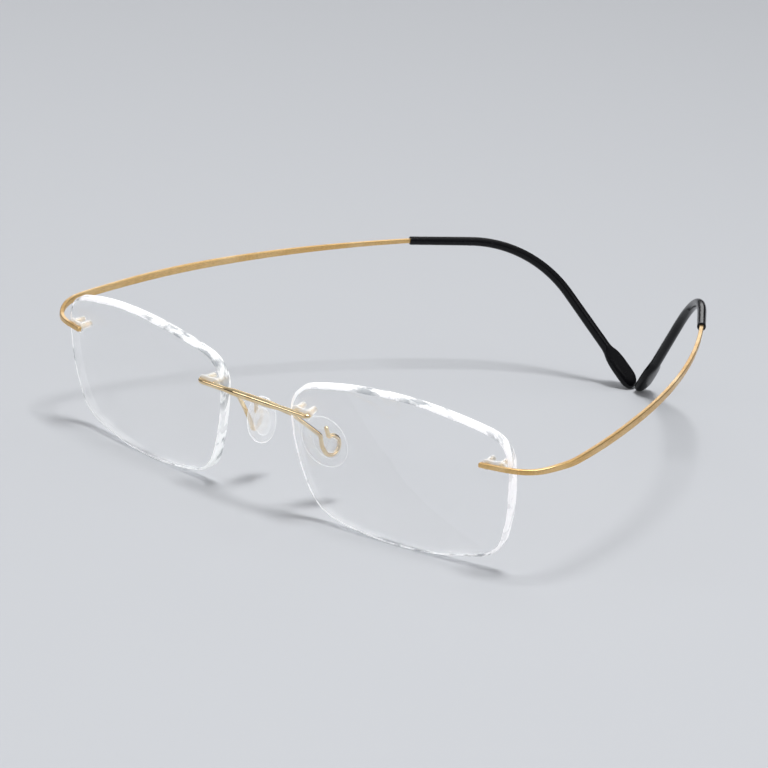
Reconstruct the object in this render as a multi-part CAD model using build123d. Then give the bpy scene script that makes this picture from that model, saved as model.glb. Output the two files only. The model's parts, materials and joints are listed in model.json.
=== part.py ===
from build123d import *
import math
import os

# Rimless eyeglasses, millimetres. +Z is up from the table that they stand on, the lenses face -Y and the
# temples run back along +Y. X = 0 is the plane of symmetry. Everything is modelled on the +X side, which
# is the wearer's left, and mirrored. "Left" and "right" in the names are the wearer's own.

# Lens shape, seen from the front in the lens's own plane
LENS_WIDTH = 53.0
LENS_HEIGHT = 34.8
LENS_GAP = 18.6                 # between the two lenses
LENS_CORNER_INSETS = {          # how far each corner, before rounding, lies inside width and height
    "top_outer": (0.85, 4.55, 7.3),         # inset across, inset down, rounding radius
    "top_nose": (0.0, 5.3, 7.0),
    "bottom_nose": (6.75, 2.5, 9.4),
    "bottom_outer": (3.25, 3.55, 7.1),
}
TOP_BULGE = 5.0                 # how far each side bows out from the line between its corners
NOSE_BULGE = 1.85
BOTTOM_BULGE = 3.0
OUTER_BULGE = 1.95
LENS_FRONT_RADIUS = 134.0       # front curve of the lens, about four dioptres
LENS_THICKNESS = 2.2
LENS_WRAP = 8.4                 # degrees, outer edge turned back
LENS_TILT = 12.3                # degrees, top leaning forward as the glasses stand

# Drilled fixings: two holes at each side of a lens
HOLE_PITCH = 3.0
NOSE_HOLE_INSET = 2.1           # from the nose edge of the lens to the nearer hole
NOSE_HOLE_HEIGHT = 7.7          # above the middle of the lens
OUTER_HOLE_INSET = 2.3
OUTER_HOLE_HEIGHT = 7.5
PRONG_RADIUS = 0.42
BUSHING_WALL = 0.3
FIT_CLEARANCE = 0.01            # radial, between parts that are pressed together
FLANGE_RADIUS = 1.15            # each lobe of the flange between a bar and the lens
FLANGE_THICKNESS = 0.6
BARREL_PROJECTION = 0.5         # of the barrels behind the lens
SEAT_CLEARANCE = 0.04           # between a bar and the flange

# Bridge: a turned rod, thicker in its middle
BRIDGE_END_RADIUS = 0.56
BRIDGE_MIDDLE_RADIUS = 0.8
BRIDGE_MIDDLE_HALF_LENGTH = 3.5
BRIDGE_TAPER_LENGTH = 4.5
BRIDGE_TIP_OVERHANG = 1.0       # of the rod past its outer prong

# Pad arms: wire from the back of the bridge to a curl round the pad's boss
ARM_RADIUS = 0.4
ARM_ROOT_X = 5.7
ARM_SHOULDER = (7.5, 4.4, -2.2)         # each place is across, back and up from the bridge's middle
ARM_KNEE = (10.5, 10.8, -7.3)
BOSS_CENTRE = (10.5, 14.8, -10.3)
ARM_BEND_RADIUS = 2.0
LEAD_IN_LENGTH = 1.5
LEAD_IN_RADIUS = 1.0
BOSS_RADIUS = 1.6
CURL_CLEARANCE = 0.05           # radial, between the boss and the wire round it
CURL_START = 30.0               # degrees below straight ahead, where the wire meets the curl
CURL_SWEEP = 258.0
CURL_TAIL = 1.5                 # length of the wire's turned-up end

# Nose pads: soft ovals on a hard core whose boss sits in the curl
PAD_HALF_WIDTH = 4.45
PAD_HALF_LENGTH = 7.2
PAD_THICKNESS = 1.8
PAD_ROUNDING = 0.75
PAD_OFFSET_UP = 0.85            # of the oval's middle from the boss, along its length
PAD_FACE = (-0.975, 0.200, -0.090)      # the way the pad faces, towards the nose
PAD_LENGTHWAYS = (-0.205, -0.700, 0.680)
PAD_BEHIND_CURL = 0.12          # clear space between the curl and the pad
CORE_THICKNESS = 0.7
CORE_HALF_WIDTH = 2.5
CORE_HALF_LENGTH = 4.4
BOSS_CAP_RADIUS = 1.95
BOSS_CAP_THICKNESS = 0.4

# Temples: a flat strip that bows inwards
TEMPLE_THICKNESS = 0.95
BOW_RADIUS = 183.0
BOW_OUTSIDE_LENS = 8.1          # from the lens's outer side to where the bow's circle is widest
BOW_CENTRE_BACK = 3.4           # of the bow's circle behind the front of the lenses
BOW_END_ANGLE = 32.0            # degrees round the bow's circle, where the black tip starts
CORNER_RADIUS = 13.0            # of the turn from the lens to the side
BAR_TIP_OVERHANG = 1.3          # of the bar past its inner prong
STRIP_STATIONS = (              # share of the way back to the black tip, height above the bar, strip's height
    (-0.02, 0.0, 1.05),
    (0.06, 0.2, 1.10),
    (0.12, 1.45, 1.35),
    (0.22, 2.60, 1.60),
    (0.44, 4.90, 1.75),
    (0.70, 7.00, 1.50),
    (0.90, 8.45, 1.15),
    (1.04, 9.45, 1.00),
)

# The sprung stand-in hinge for the temple's flex
FLEX_ANGLE = 6.5                # degrees round the bow's circle
FLEX_RANGE = 30.0               # degrees outwards
FLEX_CLEARANCE = 0.06

# Black tips: a round sleeve, bent down behind the ear to a flat paddle
SLEEVE_START_RADIUS = 0.9
SLEEVE_RADIUS = 1.2             # where it meets the paddle
CORE_WIRE_RADIUS = 0.5
SLEEVE_FIRST_RUN = 14.0
SLEEVE_FIRST_TURN = 1.5         # degrees inwards past the bow's end
EAR_BEND = (-17.8, 25.4)        # across and back from the sleeve's start, before rounding
EAR_BEND_RADIUS = 22.0
EASY_BEND_RADIUS = 60.0
PADDLE_END = (2.5, 40.4)        # across from the plane of symmetry, back from the sleeve's start
PADDLE_TWIST = 60.0             # degrees that the flat is turned about its own length
PADDLE_HALF_WIDTH = 2.7
PADDLE_LENGTH = 12.0
PADDLE_THICKNESS = 2.3
PADDLE_ROUNDING = 0.9
WIRE_END_GAP = 6.0              # from the wire's end to the middle of the paddle's round end

SPACE = 400.0                   # larger than the whole object


def unit(vector):
    return Vector(*vector).normalized()


# Lens
half_width = LENS_WIDTH / 2
half_height = LENS_HEIGHT / 2
lens_half_across = half_width * math.cos(math.radians(LENS_WRAP))
lens_middle_x = LENS_GAP / 2 + lens_half_across


def lens_outline():
    """Four gently bowed sides with rounded corners, in the lens's own plane."""
    corner = {}
    for name, (across, down, _) in LENS_CORNER_INSETS.items():
        side = -1 if name.endswith("nose") else 1
        end = 1 if name.startswith("top") else -1
        corner[name] = (side * (half_width - across), end * (half_height - down))
    sides = (
        ("top_nose", "top_outer", TOP_BULGE),
        ("top_outer", "bottom_outer", OUTER_BULGE),
        ("bottom_outer", "bottom_nose", BOTTOM_BULGE),
        ("bottom_nose", "top_nose", NOSE_BULGE),
    )
    edges = []
    for start, end, bulge in sides:
        a = Vector(*corner[start])
        b = Vector(*corner[end])
        outwards = (b - a).normalized().rotate(Axis.Z, 90)
        edges.append(ThreePointArc(a, (a + b) / 2 + outwards * bulge, b))
    face = make_face(Wire(edges))
    for name, (_, _, radius) in LENS_CORNER_INSETS.items():
        place = Vector(*corner[name])
        nearest = min(face.vertices(), key=lambda v: (Vector(*v) - place).length)
        face = fillet(nearest, radius)
    return face


lens_upright = Plane(origin=(0, 0, 0), x_dir=(1, 0, 0), z_dir=(0, -1, 0))
ball_middle = (0, LENS_FRONT_RADIUS, 0)
front_ball = Pos(*ball_middle) * Sphere(LENS_FRONT_RADIUS)
back_ball = Pos(*ball_middle) * Sphere(LENS_FRONT_RADIUS - LENS_THICKNESS)
blank_prism = lens_upright * extrude(lens_outline(), 20, both=True)
lens_blank = (blank_prism & front_ball) - back_ball
lens_turn = Rot(0, 0, LENS_WRAP) * Rot(LENS_TILT, 0, 0)
lens_drop = (lens_turn * lens_blank).bounding_box().min.Z
lens_place = Pos(lens_middle_x, 0, -lens_drop) * lens_turn


def sag(u, v):
    """How far the lens's front has curved back at a point of its outline plane."""
    return LENS_FRONT_RADIUS - math.sqrt(LENS_FRONT_RADIUS ** 2 - u ** 2 - v ** 2)


def at_lens(u, v, bar_half_thickness):
    """The middle of a bar that lies against the flange over a hole."""
    return (lens_place * Pos(u, sag(u, v) - bar_standoff(bar_half_thickness), v)).position


def bar_standoff(bar_half_thickness):
    return FLANGE_THICKNESS + SEAT_CLEARANCE + bar_half_thickness


nose_holes = [(-half_width + NOSE_HOLE_INSET + i * HOLE_PITCH, NOSE_HOLE_HEIGHT) for i in range(2)]
outer_holes = [(half_width - OUTER_HOLE_INSET - i * HOLE_PITCH, OUTER_HOLE_HEIGHT) for i in range(2)]
bushing_bore = PRONG_RADIUS + FIT_CLEARANCE
barrel_radius = bushing_bore + BUSHING_WALL
hole_radius = barrel_radius + FIT_CLEARANCE
barrel_length = LENS_THICKNESS + BARREL_PROJECTION


def along_lens_axis(u, v, radius, start, length):
    """A cylinder square to the lens's plane, which starts behind its front surface."""
    middle = sag(u, v) + start + length / 2
    return Pos(u, middle, v) * Rot(90, 0, 0) * Cylinder(radius, length)


def drilled_lens():
    lens = lens_blank
    for u, v in nose_holes + outer_holes:
        lens -= along_lens_axis(u, v, hole_radius, -LENS_THICKNESS, 4 * LENS_THICKNESS)
    return lens_place * lens


def bushing(holes):
    """Two barrels through the lens, joined by a two-lobed flange against its front."""
    (u1, v1), (u2, _) = holes
    flange_outline = SlotCenterToCenter(abs(u1 - u2), 2 * FLANGE_RADIUS)
    flange = lens_upright * Pos((u1 + u2) / 2, v1, 0) * extrude(flange_outline, 20, both=True)
    shape = (flange & (Pos(*ball_middle) * Sphere(LENS_FRONT_RADIUS + FLANGE_THICKNESS))) - front_ball
    for u, v in holes:
        shape += along_lens_axis(u, v, barrel_radius, -FLANGE_THICKNESS / 2, barrel_length + FLANGE_THICKNESS / 2)
    for u, v in holes:
        shape -= along_lens_axis(u, v, bushing_bore, -LENS_THICKNESS, 3 * barrel_length)
    return lens_place * shape


def prongs(holes, bar, bar_half_thickness):
    """Two pins from the back of a bar to the ends of the barrels."""
    ahead = bar_standoff(bar_half_thickness)
    pins = []
    for u, v in holes:
        pin = along_lens_axis(u, v, PRONG_RADIUS, -ahead, ahead + barrel_length)
        pins += ((lens_place * pin) - bar).solids()
    return Compound(pins)


# Bridge
outer_prong = at_lens(*nose_holes[1], BRIDGE_END_RADIUS)
inner_prong = at_lens(*nose_holes[0], BRIDGE_END_RADIUS)
bridge_y = (outer_prong.Y + inner_prong.Y) / 2
bridge_z = (outer_prong.Z + inner_prong.Z) / 2
bridge_half_length = outer_prong.X + BRIDGE_TIP_OVERHANG


def bridge_rod():
    taper_end = BRIDGE_MIDDLE_HALF_LENGTH + BRIDGE_TAPER_LENGTH
    half = [
        (BRIDGE_MIDDLE_HALF_LENGTH, BRIDGE_MIDDLE_RADIUS),
        (taper_end, BRIDGE_END_RADIUS),
        (bridge_half_length, BRIDGE_END_RADIUS),
        (bridge_half_length, 0),
    ]
    outline = [(-x, r) for x, r in reversed(half)] + half
    rod = revolve(make_face(Polyline(*outline, close=True)), Axis.X)
    return Pos(0, bridge_y, bridge_z) * rod


# Nose pads and pad arms
bridge_middle = Vector(0, bridge_y, bridge_z)
boss_middle = bridge_middle + Vector(*BOSS_CENTRE)
pad_face = unit(PAD_FACE)
pad_across = unit(PAD_LENGTHWAYS).cross(pad_face).normalized()
pad_plane = Plane(origin=boss_middle, x_dir=pad_across, z_dir=pad_face)
ahead_in_pad = (Vector(0, -1, 0) - pad_face * Vector(0, -1, 0).dot(pad_face)).normalized()
down_in_pad = ahead_in_pad.cross(pad_face).normalized()
if down_in_pad.Z > 0:
    down_in_pad = -down_in_pad
curl_radius = BOSS_RADIUS + CURL_CLEARANCE + ARM_RADIUS
pad_start = ARM_RADIUS + PAD_BEHIND_CURL
pad_up = math.copysign(1, pad_plane.y_dir.Z)


def on_curl(angle, radius=curl_radius):
    """A point on the curl. Angles run from straight ahead, down and under."""
    turn = math.radians(angle)
    return boss_middle + ahead_in_pad * (radius * math.cos(turn)) + down_in_pad * (radius * math.sin(turn))


def pad_arm(bridge):
    root = bridge_middle + Vector(ARM_ROOT_X, 0, 0)
    shoulder = bridge_middle + Vector(*ARM_SHOULDER)
    knee = bridge_middle + Vector(*ARM_KNEE)
    onto_curl = on_curl(CURL_START)
    tangent = (on_curl(CURL_START + 90) - boss_middle).normalized()
    lead_in = onto_curl - tangent * LEAD_IN_LENGTH
    bends = [ARM_BEND_RADIUS, ARM_BEND_RADIUS, LEAD_IN_RADIUS]
    shaft = FilletPolyline(root, shoulder, knee, lead_in, onto_curl, radius=bends)
    curl_end = CURL_START + CURL_SWEEP
    curl = ThreePointArc(onto_curl, on_curl(CURL_START + CURL_SWEEP / 2), on_curl(curl_end))
    path = Wire(shaft.edges() + [curl])
    arm = sweep(Plane(origin=path @ 0, z_dir=path % 0) * Circle(ARM_RADIUS), path=path)
    outwards = (on_curl(curl_end) - boss_middle).normalized()
    tail_plane = Plane(origin=on_curl(curl_end), z_dir=outwards)
    arm += tail_plane * Cylinder(ARM_RADIUS, CURL_TAIL, align=(Align.CENTER, Align.CENTER, Align.MIN))
    arm += Pos(*on_curl(curl_end)) * Sphere(ARM_RADIUS)
    return arm - bridge


def pad_core():
    """The hard core: a plate inside the pad, with the boss that the wire curls round."""
    plate = Pos(0, 0, pad_start + PAD_THICKNESS / 2) * extrude(
        Ellipse(CORE_HALF_WIDTH, CORE_HALF_LENGTH), CORE_THICKNESS / 2, both=True)
    boss_end = -ARM_RADIUS - CURL_CLEARANCE
    boss_top = pad_start + PAD_THICKNESS / 2
    boss = Pos(0, 0, (boss_end + boss_top) / 2) * Cylinder(BOSS_RADIUS, boss_top - boss_end)
    cap = Pos(0, 0, boss_end - BOSS_CAP_THICKNESS / 2) * Cylinder(BOSS_CAP_RADIUS, BOSS_CAP_THICKNESS)
    return pad_plane * (plate + boss + cap)


def nose_pad(core):
    outline = Pos(0, pad_up * PAD_OFFSET_UP, pad_start) * Ellipse(PAD_HALF_WIDTH, PAD_HALF_LENGTH)
    oval = extrude(outline, PAD_THICKNESS)
    rims = oval.edges().group_by(Axis.Z)
    oval = fillet(rims[0] + rims[-1], PAD_ROUNDING)
    return pad_plane * oval - core


# Temples
outer_bar = at_lens(*outer_holes[0], TEMPLE_THICKNESS / 2)
inner_bar = at_lens(*outer_holes[1], TEMPLE_THICKNESS / 2)
bar_way = Vector(outer_bar.X - inner_bar.X, outer_bar.Y - inner_bar.Y).normalized()
bar_left = Vector(-bar_way.Y, bar_way.X)
bar_tip = Vector(inner_bar.X, inner_bar.Y) - bar_way * BAR_TIP_OVERHANG
bar_z = (outer_bar.Z + inner_bar.Z) / 2
bow_widest_x = lens_middle_x + lens_half_across + BOW_OUTSIDE_LENS
bow_middle = Vector(bow_widest_x - BOW_RADIUS, BOW_CENTRE_BACK)


def on_bow(angle):
    turn = math.radians(angle)
    return bow_middle + Vector(math.cos(turn), math.sin(turn)) * BOW_RADIUS


def corner_middle():
    """The centre of the circle that touches both the bar's line and the bow's circle."""
    base = bar_tip + bar_left * CORNER_RADIUS - bow_middle
    along = base.dot(bar_way)
    beyond = base.dot(base) - (BOW_RADIUS - CORNER_RADIUS) ** 2
    run = -along + math.sqrt(along ** 2 - beyond)
    return bar_tip + bar_way * run + bar_left * CORNER_RADIUS


corner_centre = corner_middle()
corner_start = corner_centre - bar_left * CORNER_RADIUS
bow_start = bow_middle + (corner_centre - bow_middle).normalized() * BOW_RADIUS
bow_start_angle = math.degrees(math.atan2(bow_start.Y - bow_middle.Y, bow_start.X - bow_middle.X))
sleeve_start_flat = on_bow(BOW_END_ANGLE)


def strip_centreline():
    halfway = (corner_start + bow_start) / 2 - corner_centre
    corner_mid = corner_centre + halfway.normalized() * CORNER_RADIUS
    bow_mid = on_bow((bow_start_angle + BOW_END_ANGLE) / 2)
    return Wire([
        Line(bar_tip, corner_start),
        ThreePointArc(corner_start, corner_mid, bow_start),
        ThreePointArc(bow_start, bow_mid, on_bow(BOW_END_ANGLE)),
    ])


def strip_side():
    """The strip's outline from the side, extruded right across the object."""
    reach = sleeve_start_flat.Y
    top = [(reach * share, bar_z + rise + height / 2) for share, rise, height in STRIP_STATIONS]
    bottom = [(reach * share, bar_z + rise - height / 2) for share, rise, height in STRIP_STATIONS]
    outline = Wire([
        Spline(*top),
        Line(top[-1], bottom[-1]),
        Spline(*reversed(bottom)),
        Line(bottom[0], top[0]),
    ])
    from_the_side = Plane(origin=(0, 0, 0), x_dir=(0, 1, 0), z_dir=(1, 0, 0))
    return extrude(from_the_side * make_face(outline), SPACE, both=True)


side_view = strip_side()


def upright(face):
    return extrude(face, SPACE, both=True)


def beyond(point, way):
    """Everything further along a level direction than a point."""
    block = Box(SPACE, SPACE, SPACE, align=(Align.CENTER, Align.MIN, Align.CENTER))
    return Pos(point.X, point.Y, 0) * Rot(0, 0, math.degrees(math.atan2(-way.X, way.Y))) * block


flex_point = on_bow(FLEX_ANGLE)
flex_turn = math.radians(FLEX_ANGLE)
flex_way = Vector(-math.sin(flex_turn), math.cos(flex_turn))
half_strip = TEMPLE_THICKNESS / 2
whole_strip = upright(make_face(offset(strip_centreline(), half_strip, side=Side.BOTH).wires())) & side_view


def round_at_flex(radius):
    return Pos(flex_point.X, flex_point.Y, 0) * Cylinder(radius, SPACE)


def temple_bar():
    """The front of the strip, over the lens and round the corner, ending in a round socket."""
    trim = half_strip * math.tan(math.radians(FLEX_RANGE)) + FLEX_CLEARANCE
    front = whole_strip - beyond(flex_point - flex_way * trim, flex_way)
    return front - round_at_flex(half_strip + FLEX_CLEARANCE)


# Sleeve path
last_share, last_rise, _ = STRIP_STATIONS[-1]
share_before, rise_before, _ = STRIP_STATIONS[-2]
slope = (last_rise - rise_before) / (last_share - share_before)
sleeve_z = bar_z + last_rise - slope * (last_share - 1)
sleeve_start = Vector(sleeve_start_flat.X, sleeve_start_flat.Y, sleeve_z)
first_turn = math.radians(BOW_END_ANGLE + SLEEVE_FIRST_TURN)
first_way = Vector(-math.sin(first_turn), math.cos(first_turn), 0)
sleeve_knuckle = sleeve_start + first_way * SLEEVE_FIRST_RUN
ear_corner = Vector(sleeve_start.X + EAR_BEND[0], sleeve_start.Y + EAR_BEND[1], sleeve_z)


def paddle_lie(height):
    """The middle of the paddle's round end at a height, its long direction and its thin direction."""
    middle = Vector(PADDLE_END[0], sleeve_start.Y + PADDLE_END[1], height)
    along = (middle - ear_corner).normalized()
    level = along.cross(Vector(0, 0, 1)).normalized()
    return middle, along, level.rotate(Axis((0, 0, 0), along), PADDLE_TWIST)


def reach_down(thin):
    """How far the paddle's rounded disc reaches below its middle."""
    flat = (PADDLE_HALF_WIDTH - PADDLE_ROUNDING) * math.sqrt(1 - thin.Z ** 2)
    return flat + (PADDLE_THICKNESS / 2 - PADDLE_ROUNDING) * abs(thin.Z) + PADDLE_ROUNDING


first_lie = paddle_lie(PADDLE_HALF_WIDTH)
paddle_middle, down_way, thin_way = paddle_lie(reach_down(first_lie[2]))


def tip_path(end):
    """The middle of the black tip, from its open end to a point on its last straight run."""
    return FilletPolyline(
        sleeve_start, sleeve_knuckle, ear_corner, end, radius=[EASY_BEND_RADIUS, EAR_BEND_RADIUS])


def swept_round(start_radius, end_radius, end):
    path = tip_path(end)
    sections = [
        Plane(origin=path @ 0, z_dir=path % 0) * Circle(start_radius),
        Plane(origin=path @ 1, z_dir=path % 1) * Circle(end_radius),
    ]
    return sweep(sections, path=path, multisection=True)


def temple():
    """The strip behind the flex point, with its round end wire inside the black tip."""
    back = whole_strip & beyond(flex_point, flex_way)
    back += round_at_flex(half_strip) & side_view
    back += swept_round(CORE_WIRE_RADIUS, CORE_WIRE_RADIUS, paddle_middle - down_way * WIRE_END_GAP)
    return back


def temple_tip(wire):
    paddle_plane = Plane(origin=paddle_middle, x_dir=down_way, z_dir=thin_way)
    length = PADDLE_LENGTH - PADDLE_HALF_WIDTH
    lean = math.asin((PADDLE_HALF_WIDTH - SLEEVE_RADIUS) / length)
    shoulder = (PADDLE_HALF_WIDTH * math.sin(-lean), PADDLE_HALF_WIDTH * math.cos(lean))
    outline = make_face(Wire([
        Line((-length, -SLEEVE_RADIUS), (-length, SLEEVE_RADIUS)),
        Line((-length, SLEEVE_RADIUS), shoulder),
        ThreePointArc(shoulder, (PADDLE_HALF_WIDTH, 0), (shoulder[0], -shoulder[1])),
        Line((shoulder[0], -shoulder[1]), (-length, -SLEEVE_RADIUS)),
    ]))
    paddle = extrude(outline, PADDLE_THICKNESS / 2, both=True)
    faces = paddle.faces().sort_by(Axis.Z)
    paddle = fillet(faces[0].edges() + faces[-1].edges(), PADDLE_ROUNDING)
    sleeve_end = paddle_middle - down_way * PADDLE_HALF_WIDTH
    tip = swept_round(SLEEVE_START_RADIUS, SLEEVE_RADIUS, sleeve_end)
    return tip + paddle_plane * paddle - wire


# All the pieces of the +X side, and the bridge
bridge_piece = bridge_rod()
bar_piece = temple_bar()
temple_piece = temple()
core_piece = pad_core()
left_side = {
    "lens": drilled_lens(),
    "bridge_bushing": bushing(nose_holes),
    "temple_bushing": bushing(outer_holes),
    "bridge_prongs": prongs(nose_holes, bridge_piece, BRIDGE_END_RADIUS),
    "temple_prongs": prongs(outer_holes, bar_piece, TEMPLE_THICKNESS / 2),
    "pad_arm": pad_arm(bridge_piece),
    "pad_core": core_piece,
    "nose_pad": nose_pad(core_piece),
    "temple_bar": bar_piece,
    "temple": temple_piece,
    "temple_tip": temple_tip(temple_piece),
}
pieces = {"bridge": bridge_piece}
for name, shape in left_side.items():
    pieces[name + "_left"] = shape
    pieces[name + "_right"] = mirror(shape, about=Plane.YZ)

# The origin is on the table, in the middle of the object's length
whole = Compound([solid for shape in pieces.values() for solid in shape.solids()]).bounding_box()
to_origin = Pos(0, -(whole.min.Y + whole.max.Y) / 2, -whole.min.Z)

os.makedirs("parts", exist_ok=True)
for name, shape in pieces.items():
    placed = to_origin * Compound(shape.solids())
    export_step(placed, "parts/" + name + ".step")
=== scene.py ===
import json
import math
from collections import namedtuple

import bmesh
import bpy
from mathutils import Matrix, Vector


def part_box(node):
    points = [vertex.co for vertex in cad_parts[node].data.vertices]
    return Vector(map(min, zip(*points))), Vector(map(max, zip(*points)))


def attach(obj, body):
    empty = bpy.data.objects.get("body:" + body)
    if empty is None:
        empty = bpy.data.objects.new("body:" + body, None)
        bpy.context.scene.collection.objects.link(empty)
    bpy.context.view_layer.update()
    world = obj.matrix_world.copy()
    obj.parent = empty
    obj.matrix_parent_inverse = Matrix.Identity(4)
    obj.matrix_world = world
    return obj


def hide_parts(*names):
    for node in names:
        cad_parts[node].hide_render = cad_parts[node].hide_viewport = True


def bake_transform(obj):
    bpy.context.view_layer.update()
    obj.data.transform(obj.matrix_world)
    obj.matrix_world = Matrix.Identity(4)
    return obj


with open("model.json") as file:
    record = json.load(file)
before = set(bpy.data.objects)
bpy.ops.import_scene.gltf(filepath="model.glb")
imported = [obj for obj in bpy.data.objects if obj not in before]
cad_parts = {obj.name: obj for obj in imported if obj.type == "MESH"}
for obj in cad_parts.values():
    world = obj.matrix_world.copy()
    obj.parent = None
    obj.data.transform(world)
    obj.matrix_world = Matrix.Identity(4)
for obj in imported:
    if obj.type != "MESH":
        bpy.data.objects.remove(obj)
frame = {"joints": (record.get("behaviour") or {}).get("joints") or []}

bl_info = {
    "name": "Rimless eyeglasses",
    "version": (1, 0, 0),
    "blender": (4, 5, 0),
    "location": "3D View > Sidebar > Eyeglasses",
    "description": "Builds the lenses, bridge, nose pads, temples and tips of rimless eyeglasses",
    "category": "Add Mesh",
}

# +Z is up from the table, the lenses face -Y and the temples run back along +Y. Every piece is worked out on
# the +X side, the wearer's left, and mirrored. "Left" and "right" are the wearer's own.
MM = 0.001
SIDES = (("left", 1), ("right", -1))
UP = Vector((0, 0, 1))
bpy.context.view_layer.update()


# ---------------------------------------------------------------- sizes and colours

def length(name, description, millimetres):
    return bpy.props.FloatProperty(
        name=name, description=description, default=millimetres * MM, min=0.0, unit="LENGTH", precision=5)


def angle(name, description, degrees):
    return bpy.props.FloatProperty(
        name=name, description=description, default=math.radians(degrees), unit="ROTATION")


def colour(name, description, *rgb):
    return bpy.props.FloatVectorProperty(
        name=name, description=description, default=rgb, size=3, min=0.0, max=1.0, subtype="COLOR")


def share(name, description, value):
    return bpy.props.FloatProperty(
        name=name, description=description, default=value, min=0.0, max=1.0, subtype="FACTOR")


class LensSizes(bpy.types.PropertyGroup):
    width: length("Width", "Width of a lens in its own plane", 53.0)
    height: length("Height", "Height of a lens in its own plane", 34.8)
    front_radius: length("Front radius", "Radius of the lens's front curve", 134.0)
    thickness: length("Thickness", "Thickness of a lens", 2.2)
    wrap: angle("Wrap", "How far the outer edge is turned back", 8.4)
    tilt: angle("Tilt", "How far the top leans forward", 12.3)
    edge_bevel: length("Edge bevel", "Width of the polished bevel round both edges", 0.3)
    edge_wander: length("Edge wander", "How unevenly the bevel was polished by hand", 0.07)


class FixingSizes(bpy.types.PropertyGroup):
    pitch: length("Hole pitch", "Distance between the two holes at one side of a lens", 3.0)
    nose_inset: length("Nose hole inset", "From the nose edge of the lens to the nearer hole", 2.1)
    nose_height: length("Nose hole height", "Above the middle of the lens", 7.7)
    outer_inset: length("Outer hole inset", "From the outer edge of the lens to the nearer hole", 2.3)
    outer_height: length("Outer hole height", "Above the middle of the lens", 7.5)
    prong_radius: length("Prong radius", "Radius of the pins behind the bars", 0.42)
    barrel_radius: length("Barrel radius", "Outer radius of a bushing's barrels", 0.73)
    barrel_projection: length("Barrel projection", "How far the barrels stand out behind the lens", 0.5)
    flange_radius: length("Flange radius", "Radius of each lobe of the flange", 1.15)
    flange_thickness: length("Flange thickness", "Thickness of the flange", 0.6)
    flange_waist: share("Flange waist", "How much narrower the flange is between its lobes", 0.14)
    seat_clearance: length("Seat clearance", "Between a bar and the flange", 0.04)


class BridgeSizes(bpy.types.PropertyGroup):
    end_radius: length("End radius", "Radius of the rod at its ends", 0.6)
    middle_radius: length("Middle radius", "Radius of the rod in its middle", 0.8)
    middle_half: length("Middle half length", "Half the length of the thick middle", 4.6)
    taper: length("Taper", "Length of the taper to each end", 3.2)
    overhang: length("Overhang", "Of the rod past its outer prong", 1.15)
    hook_radius: length("Hook radius", "Of the turn from the rod into its outer prong", 0.75)


class PadSizes(bpy.types.PropertyGroup):
    wire_radius: length("Wire radius", "Radius of the pad arm's wire", 0.48)
    root_x: length("Root", "Where the wire leaves the bridge, from its middle", 5.0)
    boss_radius: length("Boss radius", "Radius of the boss inside the wire's curl", 1.6)
    curl_clearance: length("Curl clearance", "Between the boss and the wire", 0.03)
    curl_start: angle("Curl start", "Below straight ahead, where the wire meets the curl", 30.0)
    curl_sweep: angle("Curl sweep", "How far the wire runs round the boss", 258.0)
    tail: length("Tail", "Length of the wire's turned-up end", 2.5)
    cap_radius: length("Cap radius", "Radius of the cap that holds the curl on the boss", 1.95)
    cap_thickness: length("Cap thickness", "Thickness of that cap", 0.4)
    half_width: length("Pad half width", "Half the width of the soft oval", 4.45)
    half_length: length("Pad half length", "Half the length of the soft oval", 7.2)
    thickness: length("Pad thickness", "Thickness of the soft oval", 1.8)
    rounding: length("Pad rounding", "Radius of the oval's rim", 0.75)
    offset_up: length("Pad offset", "Of the oval's middle from the boss", 0.85)
    behind_curl: length("Behind curl", "Clear space between the curl and the pad", 0.12)
    core_half_width: length("Core half width", "Half the width of the hard plate in the pad", 2.5)
    core_half_length: length("Core half length", "Half the length of the hard plate", 4.4)
    core_thickness: length("Core thickness", "Thickness of the hard plate", 0.7)


class TempleSizes(bpy.types.PropertyGroup):
    thickness: length("Thickness", "Thickness of the flat strip", 0.95)
    bow_radius: length("Bow radius", "Radius of the strip's inward bow", 183.0)
    flex_angle: angle("Flex angle", "Where the strip flexes, round the bow's circle", 6.5)
    bow_end: angle("Bow end", "Where the black tip starts, round the bow's circle", 32.0)
    corner_radius: length("Corner radius", "Of the turn from the lens to the side", 13.0)
    tip_overhang: length("Tip overhang", "Of the bar past its inner prong", 1.3)
    wire_radius: length("Wire radius", "Radius of the round end inside the black tip", 0.5)
    flex_reach: length("Flex reach", "Length over which the strip bends, each side of the flex", 13.0)


class TipSizes(bpy.types.PropertyGroup):
    start_radius: length("Start radius", "Radius of the sleeve at its open end", 1.0)
    end_radius: length("End radius", "Radius of the sleeve where it meets the paddle", 1.22)
    lip: length("Lip", "Rounding of the sleeve's open end", 0.25)
    first_run: length("First run", "Straight run at the sleeve's start", 14.0)
    first_turn: angle("First turn", "Inwards past the bow's end", 1.5)
    easy_radius: length("Easy radius", "Radius of the first gentle bend", 60.0)
    ear_radius: length("Ear radius", "Radius of the bend down behind the ear", 31.0)
    half_width: length("Paddle half width", "Half the paddle's width", 2.8)
    paddle_length: length("Paddle length", "Length of the paddle", 12.0)
    thickness: length("Paddle thickness", "Thickness of the paddle", 2.3)
    twist: angle("Paddle twist", "How far the flat is turned about its own length", 60.0)
    wire_end_gap: length("Wire end gap", "From the wire's end to the middle of the round end", 6.0)


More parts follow.
